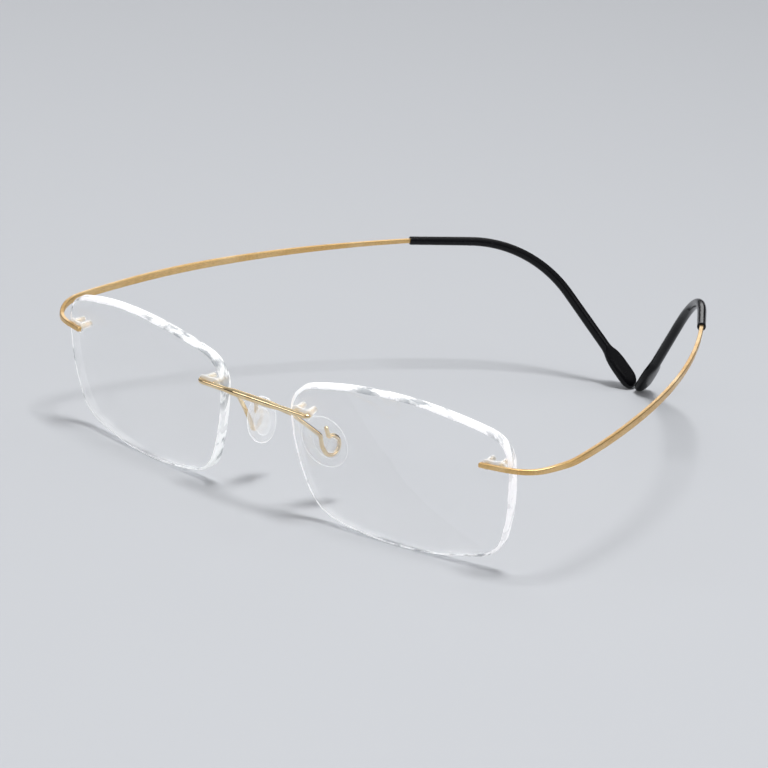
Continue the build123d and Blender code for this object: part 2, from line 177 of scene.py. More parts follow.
class Finishes(bpy.types.PropertyGroup):
    polished: colour("Polished gold", "The bridge, prongs and pad arms", 0.97, 0.79, 0.50)
    polished_deep: colour("Polished gold, deep", "Its darker patches", 0.66, 0.42, 0.18)
    satin: colour("Satin gold", "The temples", 0.86, 0.56, 0.23)
    satin_deep: colour("Satin gold, deep", "Its darker streaks", 0.54, 0.32, 0.11)
    black: colour("Black tip", "The sleeves and paddles", 0.004, 0.004, 0.005)
    clear: colour("Clear", "Lenses and clear plastic", 0.97, 0.98, 0.98)
    silicone: colour("Silicone", "The nose pads", 0.94, 0.95, 0.97)
    floor: colour("Floor", "The surface that the eyeglasses stand on", 0.51, 0.524, 0.55)


GROUPS = {
    "lens": LensSizes, "fixing": FixingSizes, "bridge": BridgeSizes, "pad": PadSizes,
    "temple": TempleSizes, "tip": TipSizes, "finish": Finishes,
}


def sizes(group):
    return getattr(bpy.context.scene, "eyeglasses_" + group)


# ---------------------------------------------------------------- nodes

class Value:
    """A node's output that can be used in arithmetic; each operation adds a Math node."""

    def __init__(self, tree, socket):
        self.tree = tree
        self.socket = socket

    def math(self, operation, *others):
        settings = {"operation": operation}
        inputs = {0: self}
        for place, other in enumerate(others, start=1):
            inputs[place] = other
        return self.tree.add("ShaderNodeMath", settings, inputs)

    def __add__(self, other):
        return self.math("ADD", other)

    __radd__ = __add__

    def __mul__(self, other):
        return self.math("MULTIPLY", other)

    __rmul__ = __mul__

    def __sub__(self, other):
        return self.math("SUBTRACT", other)

    def __rsub__(self, other):
        return self.tree.add("ShaderNodeMath", {"operation": "SUBTRACT"}, {0: other, 1: self})

    def __truediv__(self, other):
        return self.math("DIVIDE", other)

    def __pow__(self, other):
        return self.math("POWER", other)


class Tree:
    """Adds nodes to a node tree, with their settings first and then the values or links of their sockets."""

    def __init__(self, nodes):
        self.nodes = nodes

    def add(self, kind, settings=None, inputs=None, output=0):
        node = self.nodes.nodes.new(kind)
        for key, value in (settings or {}).items():
            if key == "stops":
                self.set_stops(node.color_ramp, value)
            else:
                setattr(node, key, value)
        for key, value in (inputs or {}).items():
            socket = node.inputs[key]
            if isinstance(value, Value):
                self.nodes.links.new(value.socket, socket)
            else:
                socket.default_value = value
        return Value(self, node.outputs[output]) if node.outputs else node

    @staticmethod
    def set_stops(ramp, stops):
        while len(ramp.elements) < len(stops):
            ramp.elements.new(0.5)
        for element, (place, level) in zip(ramp.elements, stops):
            element.position = place
            element.color = (level, level, level, 1)

    def vector(self, operation, *inputs):
        places = dict(enumerate(inputs))
        if operation == "SCALE":
            places = {0: inputs[0], "Scale": inputs[1]}
        return self.add("ShaderNodeVectorMath", {"operation": operation}, places)

    def mix(self, factor, first, second):
        """A colour between two colours; either may be three numbers or a value."""
        wide = [c if isinstance(c, Value) else (*c, 1) for c in (first, second)]
        settings = {"data_type": "RGBA"}
        return self.add("ShaderNodeMix", settings, {0: factor, 6: wide[0], 7: wide[1]}, output=2)


# ---------------------------------------------------------------- finishes

def new_finish(name):
    material = bpy.data.materials.new(name)
    material.use_nodes = True
    material.node_tree.nodes.clear()
    return material, Tree(material.node_tree)


EVENLY = (1, 1, 1)              # a pattern with the same grain along every axis


def object_places(tree, stretch):
    """Object coordinates, multiplied along each axis, so a pattern's grain has a direction."""
    places = tree.add("ShaderNodeTexCoord", output="Object")
    return tree.add("ShaderNodeMapping", None, {"Vector": places, "Scale": stretch})


def noise(tree, stretch, scale, detail=3.0):
    inputs = {"Vector": object_places(tree, stretch), "Scale": scale, "Detail": detail}
    return tree.add("ShaderNodeTexNoise", None, inputs)


def ramp(tree, factor, *stops):
    return tree.add("ShaderNodeValToRGB", {"stops": stops}, {0: factor})


def bump(tree, height, strength, distance):
    return tree.add("ShaderNodeBump", None, {"Height": height, "Strength": strength, "Distance": distance})


def finish_with(tree, shader):
    tree.add("ShaderNodeOutputMaterial", None, {"Surface": shader})


def polished_gold():
    """Mirror-polished plating with faint buffing marks and slightly duller, darker patches."""
    material, tree = new_finish("polished_gold")
    tones = sizes("finish")
    patches = noise(tree, EVENLY, 420)
    buffing = noise(tree, (0.25, 1, 1), 5200, 2.0)
    dullness = ramp(tree, patches, (0.35, 0.0), (0.75, 0.65))
    shader = tree.add("ShaderNodeBsdfPrincipled", None, {
        "Base Color": tree.mix(dullness, tones.polished, tones.polished_deep),
        "Metallic": 1.0,
        "Roughness": 0.05 + patches * 0.05 + buffing * 0.04,
        "Normal": bump(tree, buffing, 0.15, 0.00001),
    })
    finish_with(tree, shader)
    return material


def satin_gold():
    """Brushed plating: fine streaks along the strip and rubbed, brighter patches."""
    material, tree = new_finish("satin_gold")
    tones = sizes("finish")
    streaks = noise(tree, (1, 0.06, 1), 5200, 4.0)
    patches = noise(tree, (1, 0.35, 1), 160)
    worn = ramp(tree, patches, (0.42, 0.0), (0.72, 1.0))
    deep = tree.mix(ramp(tree, streaks, (0.3, 0.0), (0.7, 0.7)), tones.satin, tones.satin_deep)
    shader = tree.add("ShaderNodeBsdfPrincipled", None, {
        "Base Color": tree.mix(worn * 0.5, deep, tones.polished),
        "Metallic": 1.0,
        "Roughness": 0.31 + streaks * 0.12 - worn * 0.08,
        "Normal": bump(tree, streaks, 0.35, 0.00003),
    })
    finish_with(tree, shader)
    return material


def black_plastic():
    """Glossy moulded plastic with a soft orange-peel surface and faint hairline scuffs."""
    material, tree = new_finish("black_plastic")
    tones = sizes("finish")
    peel = noise(tree, EVENLY, 900)
    scuffs = ramp(tree, noise(tree, (1, 0.2, 1), 2600, 5.0), (0.60, 0.0), (0.72, 1.0))
    shader = tree.add("ShaderNodeBsdfPrincipled", None, {
        "Base Color": tree.mix(scuffs * 0.35, tones.black, (0.02, 0.02, 0.024)),
        "Roughness": 0.17 + peel * 0.08 + scuffs * 0.16,
        "Specular IOR Level": 0.13,
        "Coat Weight": 0.14,
        "Coat Roughness": 0.08,
        "Normal": bump(tree, peel, 0.2, 0.00005),
    })
    finish_with(tree, shader)
    return material


def glancing_share(tree, blend):
    """0 on a surface that faces the eye and 1 where it turns away."""
    return tree.add("ShaderNodeLayerWeight", None, {"Blend": blend}, output="Facing")


def clear_lens():
    """The lens's coated faces: nearly invisible, a little more present at a glancing angle."""
    material, tree = new_finish("coated_lens")
    film = noise(tree, EVENLY, 35, 2.0)
    shader = tree.add("ShaderNodeBsdfPrincipled", None, {
        "Base Color": tree.mix(film, (0.93, 0.99, 0.96), (0.98, 0.94, 1.0)),
        "Roughness": 0.02 + film * 0.02,
        "IOR": 1.5,
        "Transmission Weight": 1.0,
        "Alpha": 0.05 + glancing_share(tree, 0.35) * 0.14,
    })
    finish_with(tree, shader)
    return material


def lens_edge():
    """The ground and hand-polished edge: painted glints outside, speckles that lighten its colour, and a
    painted glow, an emission standing in for light gathered in the edge; nearly gone when seen through the
    lens.
    """
    material, tree = new_finish("lens_edge")
    facets = tree.add("ShaderNodeTexVoronoi", {"feature": "SMOOTH_F1"}, {
        "Vector": object_places(tree, EVENLY), "Scale": 620, "Smoothness": 0.3})
    grinding = noise(tree, EVENLY, 1500, 3.0)
    # speckle and calm together make the painted glints: they lighten the edge's colour, make it more opaque
    # and set where the painted glow is strongest
    speckle = ramp(tree, noise(tree, (0.6, 1.7, 0.6), 420, 4.0), (0.40, 0.0), (0.54, 1.0))
    calm = ramp(tree, noise(tree, EVENLY, 75, 2.0), (0.44, 0.0), (0.56, 0.8))
    painted_glints = (speckle + calm).math("MINIMUM", 1.0)
    tint = noise(tree, EVENLY, 22, 1.0)
    painted_glow_tint = tree.mix(tint, (0.90, 1.0, 0.96), (1.0, 0.90, 0.96))
    inside = tree.add("ShaderNodeNewGeometry", output="Backfacing")
    shader = tree.add("ShaderNodeBsdfPrincipled", None, {
        "Base Color": tree.mix(painted_glints, (0.50, 0.53, 0.55), (1.0, 1.0, 1.0)),
        "Roughness": 0.10 + grinding * 0.16,
        "IOR": 1.5,
        "Transmission Weight": 0.25,
        # Painted glow: an emission, tinted by noise, that stands in for light gathered in the polished edge;
        # the edge is no lamp
        "Emission Color": tree.mix(painted_glints, (0.04, 0.04, 0.04), painted_glow_tint),
        "Emission Strength": 0.34,
        "Alpha": (0.72 + painted_glints * 0.28) * (1.0 - inside * 0.86),
        "Normal": bump(tree, facets + grinding * 0.15, 0.5, 0.0002),
    })
    finish_with(tree, shader)
    return material


def clear_plastic(name, haze, falloff, glow):
    """Clear plastic with moulding ripples. Haze is how much it hides what is behind it, and its edges are
    more opaque and carry a painted glow, an emission that stands in for light caught at the rims: falloff is
    how quickly that fades towards its faces and glow how strong that painted glow is."""
    material, tree = new_finish(name)
    tones = sizes("finish")
    ripple = noise(tree, EVENLY, 900, 2.0)
    edge = glancing_share(tree, 0.5) ** falloff
    shader = tree.add("ShaderNodeBsdfPrincipled", None, {
        "Base Color": tree.mix(ripple * 0.3, tones.clear, (0.90, 0.92, 0.94)),
        "Roughness": 0.06 + ripple * 0.08,
        "IOR": 1.49,
        "Transmission Weight": 0.2,
        # Painted glow: white emission at the glancing rims stands in for light caught there; the plastic is
        # no lamp
        "Emission Color": tree.mix(edge, (0.0, 0.0, 0.0), (1.0, 1.0, 1.0)),
        "Emission Strength": glow,
        "Alpha": haze + edge * (0.9 - haze),
        "Normal": bump(tree, ripple, 0.4, 0.0001),
    })
    finish_with(tree, shader)
    return material


def clear_silicone():
    """Soft clear rubber: a slightly hazy skin, more opaque at its rims, with a painted glow there, an
    emission that stands in for light caught at the rims.
    """
    material, tree = new_finish("clear_silicone")
    tones = sizes("finish")
    haze = noise(tree, EVENLY, 320, 3.0)
    edge = glancing_share(tree, 0.5) ** 2.4
    shader = tree.add("ShaderNodeBsdfPrincipled", None, {
        "Base Color": tree.mix(haze * 0.3, tones.silicone, (1.0, 1.0, 1.0)),
        "Roughness": 0.12 + haze * 0.12,
        "IOR": 1.41,
        "Transmission Weight": 0.3,
        # Painted glow: white emission at the glancing rims stands in for light caught there; the pad is no
        # lamp
        "Emission Color": tree.mix(edge, (0.0, 0.0, 0.0), (1.0, 1.0, 1.0)),
        "Emission Strength": 0.6,
        "Alpha": 0.07 + edge * 0.93,
        "Normal": bump(tree, haze, 0.2, 0.0001),
    })
    finish_with(tree, shader)
    return material


def floor_paper():
    """Matt seamless paper with a faint tooth."""
    material, tree = new_finish("floor_paper")
    tone = sizes("finish").floor
    tooth = noise(tree, EVENLY, 1.3, 2.0)
    shader = tree.add("ShaderNodeBsdfPrincipled", None, {
        "Base Color": tree.mix(tooth * 0.2, tone, (0.53, 0.543, 0.563)),
        "Roughness": 0.75 + tooth * 0.1,
        "Specular IOR Level": 0.2,
    })
    finish_with(tree, shader)
    return material


FINISHES = {}


def finish(name):
    makers = {
        "polished_gold": polished_gold, "satin_gold": satin_gold, "black_plastic": black_plastic,
        "coated_lens": clear_lens, "lens_edge": lens_edge, "clear_silicone": clear_silicone,
        # the last number of each clear_plastic call is the strength of its painted glow
        "bushing_plastic": lambda: clear_plastic("bushing_plastic", 0.42, 2.0, 0.4),
        "core_plastic": lambda: clear_plastic("core_plastic", 0.04, 2.2, 0.8),
        "floor_paper": floor_paper,
    }
    if name not in FINISHES:
        FINISHES[name] = makers[name]()
    return FINISHES[name]


# ---------------------------------------------------------------- pieces and meshes

MERGE_DISTANCE = 1e-7
SHARP_ANGLE = math.radians(38)


def add_piece(name, mesh, body, replaced):
    """Puts a finished mesh in the scene. A piece given one body's name rides on that body; a piece given a
    tuple of two bodies and two points keeps its place with its transform baked in, and nothing is done with
    the bodies or points.
    """
    shape = bmesh.new()
    shape.from_mesh(mesh)
    bmesh.ops.remove_doubles(shape, verts=shape.verts, dist=MERGE_DISTANCE)
    bmesh.ops.recalc_face_normals(shape, faces=shape.faces)
    shape.to_mesh(mesh)
    shape.free()
    mesh.shade_smooth()
    mesh.set_sharp_from_angle(angle=SHARP_ANGLE)
    piece = bpy.data.objects.new(name, mesh)
    bpy.context.scene.collection.objects.link(piece)
    if isinstance(body, str):
        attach(piece, body)
    else:
        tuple(body[2])
        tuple(body[3])
        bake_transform(piece)
    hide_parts(*replaced)
    return piece


def circle(radius, count=32):
    """The points and outward directions of a circle."""
    ways = [Vector((math.cos(t), math.sin(t))) for t in (2 * math.pi * i / count for i in range(count))]
    return [(way * radius, way) for way in ways]


def oval(half_width, half_length, count=72):
    ring = []
    for i in range(count):
        t = 2 * math.pi * i / count
        way = Vector((math.cos(t) / half_width, math.sin(t) / half_length)).normalized()
        ring.append((Vector((half_width * math.cos(t), half_length * math.sin(t))), way))
    return ring


def banded(outline, bands, place, side):
    """A closed shape of rings. Each band draws the outline in by an inset, scales it to a share and gives its
    depth; the first and last rings are closed by a fan. place turns across, up and depth into a point."""
    points = []
    faces = []
    count = len(outline)
    for inset, scale, depth in bands:
        for number, (point, way) in enumerate(outline):
            drawn_in = inset(number / count) if callable(inset) else inset
            flat = (point - way * drawn_in) * scale
            points.append(mirrored(place(flat.x, flat.y, depth), side))
    for band in range(len(bands) - 1):
        for i in range(count):
            j = (i + 1) % count
            low = band * count
            faces.append((low + i, low + j, low + count + j, low + count + i))
    for band, start in ((0, 0), (len(bands) - 1, (len(bands) - 1) * count)):
        hub = len(points)
        points.append(mirrored(place(0.0, 0.0, bands[band][2]), side))
        faces += [(hub, start + i, start + (i + 1) % count) for i in range(count)]
    return points, faces


def mirrored(point, side):
    return Vector((point.x * side, point.y, point.z))


def joint_named(name):
    return next(joint for joint in frame["joints"] if joint["name"] == name)


def mesh_of(name, parts, materials):
    """One mesh from several lists of points and faces."""
    points = []
    faces = []
    for part_points, part_faces in parts:
        first = len(points)
        points += part_points
        faces += [tuple(first + i for i in face) for face in part_faces]
    mesh = bpy.data.meshes.new(name)
    mesh.from_pydata(points, [], faces)
    for material in materials:
        mesh.materials.append(material)
    return mesh


def rounded_rim(thickness, rounding, steps=6):
    """Insets and depths down the side of a plate with rounded rims, from its front to its back."""
    front = []
    for i in range(steps + 1):
        t = math.pi / 2 * i / steps
        front.append((rounding * (1 - math.sin(t)), rounding * (1 - math.cos(t))))
    back = [(inset, thickness - depth) for inset, depth in reversed(front)]
    return front + back


def plate(outline, thickness, rounding, place, side, start=0.0):
    """A flat plate with rounded rims, with a ring inside each rim that keeps the shading flat."""
    rim = rounded_rim(thickness, rounding)
    bands = [(rim[0][0], 0.5, start)]
    bands += [(inset, 1.0, start + depth) for inset, depth in rim]
    bands.append((rim[-1][0], 0.5, start + thickness))
    return banded(outline, bands, place, side)


# ---------------------------------------------------------------- swept pieces

Station = namedtuple("Station", "centre across thin half_width half_thickness squareness")
SWEEP_VECTORS = ("centre", "across", "thin")
SWEEP_NUMBERS = ("half_width", "half_thickness", "squareness")


def section_sweep():
    """Geometry nodes that sweep a section along a path. Each point of the path says how wide and thick the
    section is there, which way it lies, and how square it is: 1 is an ellipse and near 0 a rectangle."""
    group = bpy.data.node_groups.get("Section sweep")
    if group:
        return group
    group = bpy.data.node_groups.new("Section sweep", "GeometryNodeTree")
    group.interface.new_socket("Path", in_out="INPUT", socket_type="NodeSocketGeometry")
    group.interface.new_socket("Sides", in_out="INPUT", socket_type="NodeSocketInt").default_value = 24
    group.interface.new_socket("Material", in_out="INPUT", socket_type="NodeSocketMaterial")
    group.interface.new_socket("Mesh", in_out="OUTPUT", socket_type="NodeSocketGeometry")
    tree = Tree(group)
    given = group.nodes.new("NodeGroupInput")
    path, side_count, material = (Value(tree, given.outputs[i]) for i in range(3))

    def named(name, kind="FLOAT"):
        return tree.add("GeometryNodeInputNamedAttribute", {"data_type": kind}, {"Name": name})

    curve = tree.add("GeometryNodeMeshToCurve", None, {0: path})
    ring = tree.add("GeometryNodeCurvePrimitiveCircle", None, {"Resolution": side_count, "Radius": 1.0})
    place = tree.add("GeometryNodeInputPosition")
    profile = tree.add("GeometryNodeStoreNamedAttribute", {"data_type": "FLOAT_VECTOR", "domain": "POINT"}, {
        "Geometry": ring, "Name": "turn", "Value": place})
    tube = tree.add("GeometryNodeCurveToMesh", None, {0: curve, 1: profile, "Fill Caps": True})
    turn = tree.nodes.nodes.new("ShaderNodeSeparateXYZ")
    group.links.new(named("turn", "FLOAT_VECTOR").socket, turn.inputs[0])
    power = named("squareness")
    offsets = []
    for axis, way, half in ((0, "across", "half_width"), (1, "thin", "half_thickness")):
        along = Value(tree, turn.outputs[axis])
        reach = along.math("SIGN") * along.math("ABSOLUTE") ** power * named(half)
        offsets.append(tree.vector("SCALE", named(way, "FLOAT_VECTOR"), reach))
    offset = tree.vector("ADD", offsets[0], offsets[1])
    position = tree.vector("ADD", named("centre", "FLOAT_VECTOR"), offset)
    placed = tree.add("GeometryNodeSetPosition", None, {"Geometry": tube, "Position": position})
    smooth = tree.add("GeometryNodeSetShadeSmooth", None, {"Geometry": placed})
    real = tree.add("GeometryNodeRealizeInstances", None, {"Geometry": smooth})
    finished = tree.add("GeometryNodeSetMaterial", None, {"Geometry": real, "Material": material})
    result = group.nodes.new("NodeGroupOutput")
    group.links.new(finished.socket, result.inputs[0])
    return group


def path_mesh(name, runs, side):
    """A mesh of bare edges, whose points hold what the section sweep reads."""
    stations = [station for run in runs for station in run]
    edges = []
    first = 0
    for run in runs:
        edges += [(first + i, first + i + 1) for i in range(len(run) - 1)]
        first += len(run)
    mesh = bpy.data.meshes.new(name)
    mesh.from_pydata([mirrored(s.centre, side) for s in stations], edges, [])
    for field in SWEEP_VECTORS:
        turned = side if field == "thin" else 1      # keeps the section's handedness when it is mirrored
        values = [x for s in stations for x in mirrored(getattr(s, field), side) * turned]
        mesh.attributes.new(field, "FLOAT_VECTOR", "POINT").data.foreach_set("vector", values)
    for field in SWEEP_NUMBERS:
        values = [getattr(s, field) for s in stations]
        mesh.attributes.new(field, "FLOAT", "POINT").data.foreach_set("value", values)
    return mesh


def swept(name, runs, side, side_count, material):
    """The plain mesh of sections swept along one or more runs of stations."""
    path = bpy.data.objects.new(name + "_path", path_mesh(name + "_path", runs, side))
    bpy.context.scene.collection.objects.link(path)
    modifier = path.modifiers.new("Section sweep", "NODES")
    modifier.node_group = section_sweep()
    inputs = {item.name: item.identifier for item in modifier.node_group.interface.items_tree
              if item.in_out == "INPUT"}
    modifier[inputs["Sides"]] = side_count
    modifier[inputs["Material"]] = material
    evaluated = path.evaluated_get(bpy.context.evaluated_depsgraph_get())
    mesh = bpy.data.meshes.new_from_object(evaluated)
    mesh.name = name
    for field in (*SWEEP_VECTORS, *SWEEP_NUMBERS, "turn"):
        attribute = mesh.attributes.get(field)
        if attribute:
            mesh.attributes.remove(attribute)
    bpy.data.objects.remove(path)
    return mesh


class Route:
    """A line through space that is measured along its length."""

    def __init__(self, points):
        self.points = points
        self.reach = [0.0]
        for a, b in zip(points, points[1:]):
            self.reach.append(self.reach[-1] + (b - a).length)

    @property
    def length(self):
        return self.reach[-1]

    def at(self, distance):
        distance = min(max(distance, 0.0), self.length)
        i = next(n for n in range(1, len(self.reach)) if self.reach[n] >= distance - 1e-12)
        part = (distance - self.reach[i - 1]) / max(self.reach[i] - self.reach[i - 1], 1e-12)
        return self.points[i - 1].lerp(self.points[i], part)

    def way(self, distance):
        near = 0.05 * MM
        return (self.at(distance + near) - self.at(distance - near)).normalized()


def rounded_run(corners, radii, step=0.12 * MM):
    """Points along straight runs that are joined by tangent arcs."""
    points = [corners[0]]
    for before, corner, after, radius in zip(corners, corners[1:], corners[2:], radii):
        arriving = (corner - before).normalized()
        leaving = (after - corner).normalized()
        turn = arriving.angle(leaving)
        middle = corner + (leaving - arriving).normalized() * radius / math.cos(turn / 2)
        start = corner - arriving * radius * math.tan(turn / 2)
        spoke = start - middle
        count = max(6, round(radius * turn / step))
        for i in range(count + 1):
            t = turn * i / count
            points.append(middle + spoke * math.cos(t) + arriving * radius * math.sin(t))
    points.append(corners[-1])
    return points


def arc_about(middle, first, second, radius, start, sweep, count):
    """Points round a circle, from a start angle, between two square directions."""
    turns = [start + sweep * i / count for i in range(count + 1)]
    return [middle + (first * math.cos(t) + second * math.sin(t)) * radius for t in turns]


def spaced(length, step, cap_start, cap_end, cap_steps=6):
    """Distances along a length, closer together inside its rounded ends."""
    rounds = [1 - math.cos(math.pi / 2 * i / cap_steps) for i in range(cap_steps)]
    head = [cap_start * r for r in rounds] if cap_start else []
    tail = [length - cap_end * r for r in reversed(rounds)] if cap_end else []
    inner = length - cap_start - cap_end
    count = max(2, round(inner / step))
    middle = [cap_start + inner * i / count for i in range(count + 1)]
    return head + middle + tail


def end_share(distance, length, cap_start, cap_end):
    """How much of the full size is left inside a rounded end."""
    left = 1.0
    for cap, inside in ((cap_start, distance), (cap_end, length - distance)):
        if cap and inside < cap:
            left = min(left, math.sqrt(max(1 - (1 - inside / cap) ** 2, 0.0004)))
    return left


def wire_run(route, radius_at, step, cap_start=0.0, cap_end=0.0):
    """Stations of a round wire, whose section is carried along without twisting."""
    stations = []
    across = route.way(0).orthogonal().normalized()
    for distance in spaced(route.length, step, cap_start, cap_end):
        way = route.way(distance)
        across = (across - way * across.dot(way)).normalized()
        radius = radius_at(distance) * end_share(distance, route.length, cap_start, cap_end)
        stations.append(Station(route.at(distance), across, way.cross(across), radius, radius, 1.0))
    return stations


def eased(start, end, value):
    """0 before start, 1 after end, and smooth between them."""
    t = min(max((value - start) / (end - start), 0.0), 1.0)
    return t * t * (3 - 2 * t)


def smooth_table(rows, value):
    """A smooth curve through rows of (place, height)."""
    places = [row[0] for row in rows]
    heights = [row[1] for row in rows]
    value = min(max(value, places[0]), places[-1])
    i = next(n for n in range(1, len(places)) if places[n] >= value)
    slopes = []
    for n in (i - 1, i):
        low = max(n - 1, 0)
        high = min(n + 1, len(places) - 1)
        slopes.append((heights[high] - heights[low]) / (places[high] - places[low]))
    span = places[i] - places[i - 1]
    t = (value - places[i - 1]) / span
    a, b = heights[i - 1], heights[i]
    rise = slopes[0] * span * t * (1 - t) ** 2 - slopes[1] * span * t * t * (1 - t)
    return a + (b - a) * t * t * (3 - 2 * t) + rise


# ---------------------------------------------------------------- lenses

LENS_CORNERS = (                # across and up from the middle: side, end, inset across, inset down, rounding
    (-1, 1, 0.0, 5.3, 7.0),
    (1, 1, 0.85, 4.55, 7.3),
    (1, -1, 3.25, 3.55, 7.1),
    (-1, -1, 6.75, 2.5, 9.4),
)
LENS_BULGES = (5.0, 1.95, 3.0, 1.85)        # top, outer, bottom and nose side
LENS_RINGS = (0.12, 0.28, 0.44, 0.6, 0.74, 0.86, 0.94, 0.984)       # shares of the outline, from the middle
BEVEL_DEPTH = 0.8               # share of the bevel's width
FRONT_WAVES = ((7, 1.0, 0.6), (17, 0.6, 2.0), (41, 0.5, 0.0))       # waves round the rim, strength, phase
BACK_WAVES = ((5, 1.0, 1.9), (23, 0.6, 0.0))
HOLE_CLEARANCE = 0.01 * MM
DRILL_START = -1.0 * MM         # from the front of the lens
DRILL_PAST = 1.5 * MM           # behind its back


def bowed_side(a, b, bulge):
    """The middle and radius of the circle through a and b that bows out by a bulge, on the left of a to b."""
    half = (b - a).length / 2
    radius = (half * half + bulge * bulge) / (2 * bulge)
    inwards = Vector((b.y - a.y, a.x - b.x)).normalized()
    return (a + b) / 2 + inwards * (radius - bulge), radius


def corner_circle(first, second, rounding, corner):
    """The middle of a circle that touches two bowed sides from inside, near their corner."""
    (c1, r1), (c2, r2) = first, second
    p, q = r1 - rounding, r2 - rounding
    apart = (c2 - c1).length
    along = (p * p - q * q + apart * apart) / (2 * apart)
    aside = math.sqrt(p * p - along * along)
    way = (c2 - c1) / apart
    normal = Vector((-way.y, way.x))
    found = [c1 + way * along + normal * aside * sign for sign in (1, -1)]
    return min(found, key=lambda point: (point - corner).length)


def lens_outline():
    """Points and outward directions round the lens: four bowed sides and four round corners."""
    lens = sizes("lens")
    corners = []
    for side, end, across, down, _ in LENS_CORNERS:
        corners.append(Vector((side * (lens.width / 2 - across * MM), end * (lens.height / 2 - down * MM))))
    circles = []
    for i in range(4):
        circles.append(bowed_side(corners[i], corners[(i + 1) % 4], LENS_BULGES[i] * MM))
    rounds = []
    for i in range(4):
        rounding = LENS_CORNERS[i][4] * MM
        rounds.append((corner_circle(circles[i - 1], circles[i], rounding, corners[i]), rounding))
    outline = []
    for i in range(4):
        round_middle, rounding = rounds[i]
        arriving = (round_middle - circles[i - 1][0]).normalized()
        leaving = (round_middle - circles[i][0]).normalized()
        outline += arc_points(round_middle, rounding, arriving, leaving, 0.45 * MM)
        next_way = (rounds[(i + 1) % 4][0] - circles[i][0]).normalized()
        outline += arc_points(circles[i][0], circles[i][1], leaving, next_way, 0.6 * MM)
    return outline


def arc_points(middle, radius, first_way, last_way, step):
    """Points and directions clockwise from one direction to another, without the last."""
    start = math.atan2(first_way.y, first_way.x)
    sweep = first_way.angle_signed(last_way)        # positive is clockwise
    count = max(4, round(abs(sweep) * radius / step))
    found = []
    for i in range(count):
        t = start - sweep * i / count
        way = Vector((math.cos(t), math.sin(t)))
        found.append((middle + way * radius, way))
    return found


def lens_surface(u, v, depth):
    """A point of the lens in its own axes, a depth behind its front surface."""
    radius = sizes("lens").front_radius
    inner = radius - depth
    return Vector((u, radius - math.sqrt(inner * inner - u * u - v * v), v))


def lens_axes():
    """The matrix from the lens's own axes to its place, which the CAD lens gives."""
    lens = sizes("lens")
    turn = Matrix.Rotation(lens.wrap, 4, "Z") @ Matrix.Rotation(lens.tilt, 4, "X")
    depths = (0.0, lens.thickness)
    rims = [turn @ lens_surface(p.x, p.y, depth) for p, _ in lens_outline() for depth in depths]
    low = Vector([min(p[i] for p in rims) for i in range(3)])
    high = Vector([max(p[i] for p in rims) for i in range(3)])
    cad_low, cad_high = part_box("lens_left")
    shift = (cad_low + cad_high - low - high) / 2
    crown = (turn @ Vector((0, 0, 0))).y        # the box's front is the crown of the front surface
    shift.y = cad_low.y - min(crown, low.y)
    return Matrix.Translation(shift) @ turn


def holes(end):
    """The two holes at one end of a lens, the one nearer the edge first."""
    lens = sizes("lens")
    fixing = sizes("fixing")
    if end == "nose":
        first = -lens.width / 2 + fixing.nose_inset
        return [(first + i * fixing.pitch, fixing.nose_height) for i in range(2)]
    first = lens.width / 2 - fixing.outer_inset
    return [(first - i * fixing.pitch, fixing.outer_height) for i in range(2)]


def uneven_bevel(waves):
    """The width of a bevel polished by hand, against the share of the way round the lens."""
    lens = sizes("lens")

    def width(part):
        turns = 2 * math.pi * part
        wander = sum(strength * math.sin(turns * count + phase) for count, strength, phase in waves)
        return lens.edge_bevel + lens.edge_wander * wander

    return width


def lens_mesh(side):
    """A curved lens with bevelled, slightly uneven edges and four drilled holes."""
    lens = sizes("lens")
    axes = lens_axes()
    front_bevel = uneven_bevel(FRONT_WAVES)
    back_bevel = uneven_bevel(BACK_WAVES)
    rim_depth = lens.edge_bevel * BEVEL_DEPTH
    wall_depths = (rim_depth, lens.thickness / 2, lens.thickness - rim_depth)
    front = [(front_bevel, scale, 0.0) for scale in (*LENS_RINGS, 1.0)]
    wall = [(0.0, 1.0, depth) for depth in wall_depths]
    back = [(back_bevel, scale, lens.thickness) for scale in (1.0, *reversed(LENS_RINGS))]
    bands = front + wall + back
    outline = lens_outline()
    materials = [finish("coated_lens"), finish("lens_edge")]
    shape = banded(outline, bands, lambda u, v, depth: axes @ lens_surface(u, v, depth), side)
    mesh = mesh_of("lens", [shape], materials)
    count = len(outline)
    first_edge_band = len(front) - 2        # the rim of the front face is polished with the edge
    last_edge_band = len(front) + len(wall) - 1
    for polygon in mesh.polygons:
        band = polygon.index // count
        if first_edge_band <= band <= last_edge_band:
            polygon.material_index = 1
    return drilled(mesh, axes, side)


def drilled(mesh, axes, side):
    """Cuts the four holes through a lens."""
    fixing = sizes("fixing")
    lens = sizes("lens")
    cutters = []
    for u, v in holes("nose") + holes("outer"):
        ring = circle(fixing.barrel_radius + HOLE_CLEARANCE, 24)
        bands = [(0.0, 1.0, DRILL_START), (0.0, 1.0, lens.thickness + DRILL_PAST)]
        middle = lens_surface(u, v, 0.0)
        cutters.append(banded(
            ring, bands, lambda x, z, depth, m=middle: axes @ (m + Vector((x, depth, z))), side))
    return combined(mesh, mesh_of("holes", cutters, [finish("lens_edge")]), "DIFFERENCE")


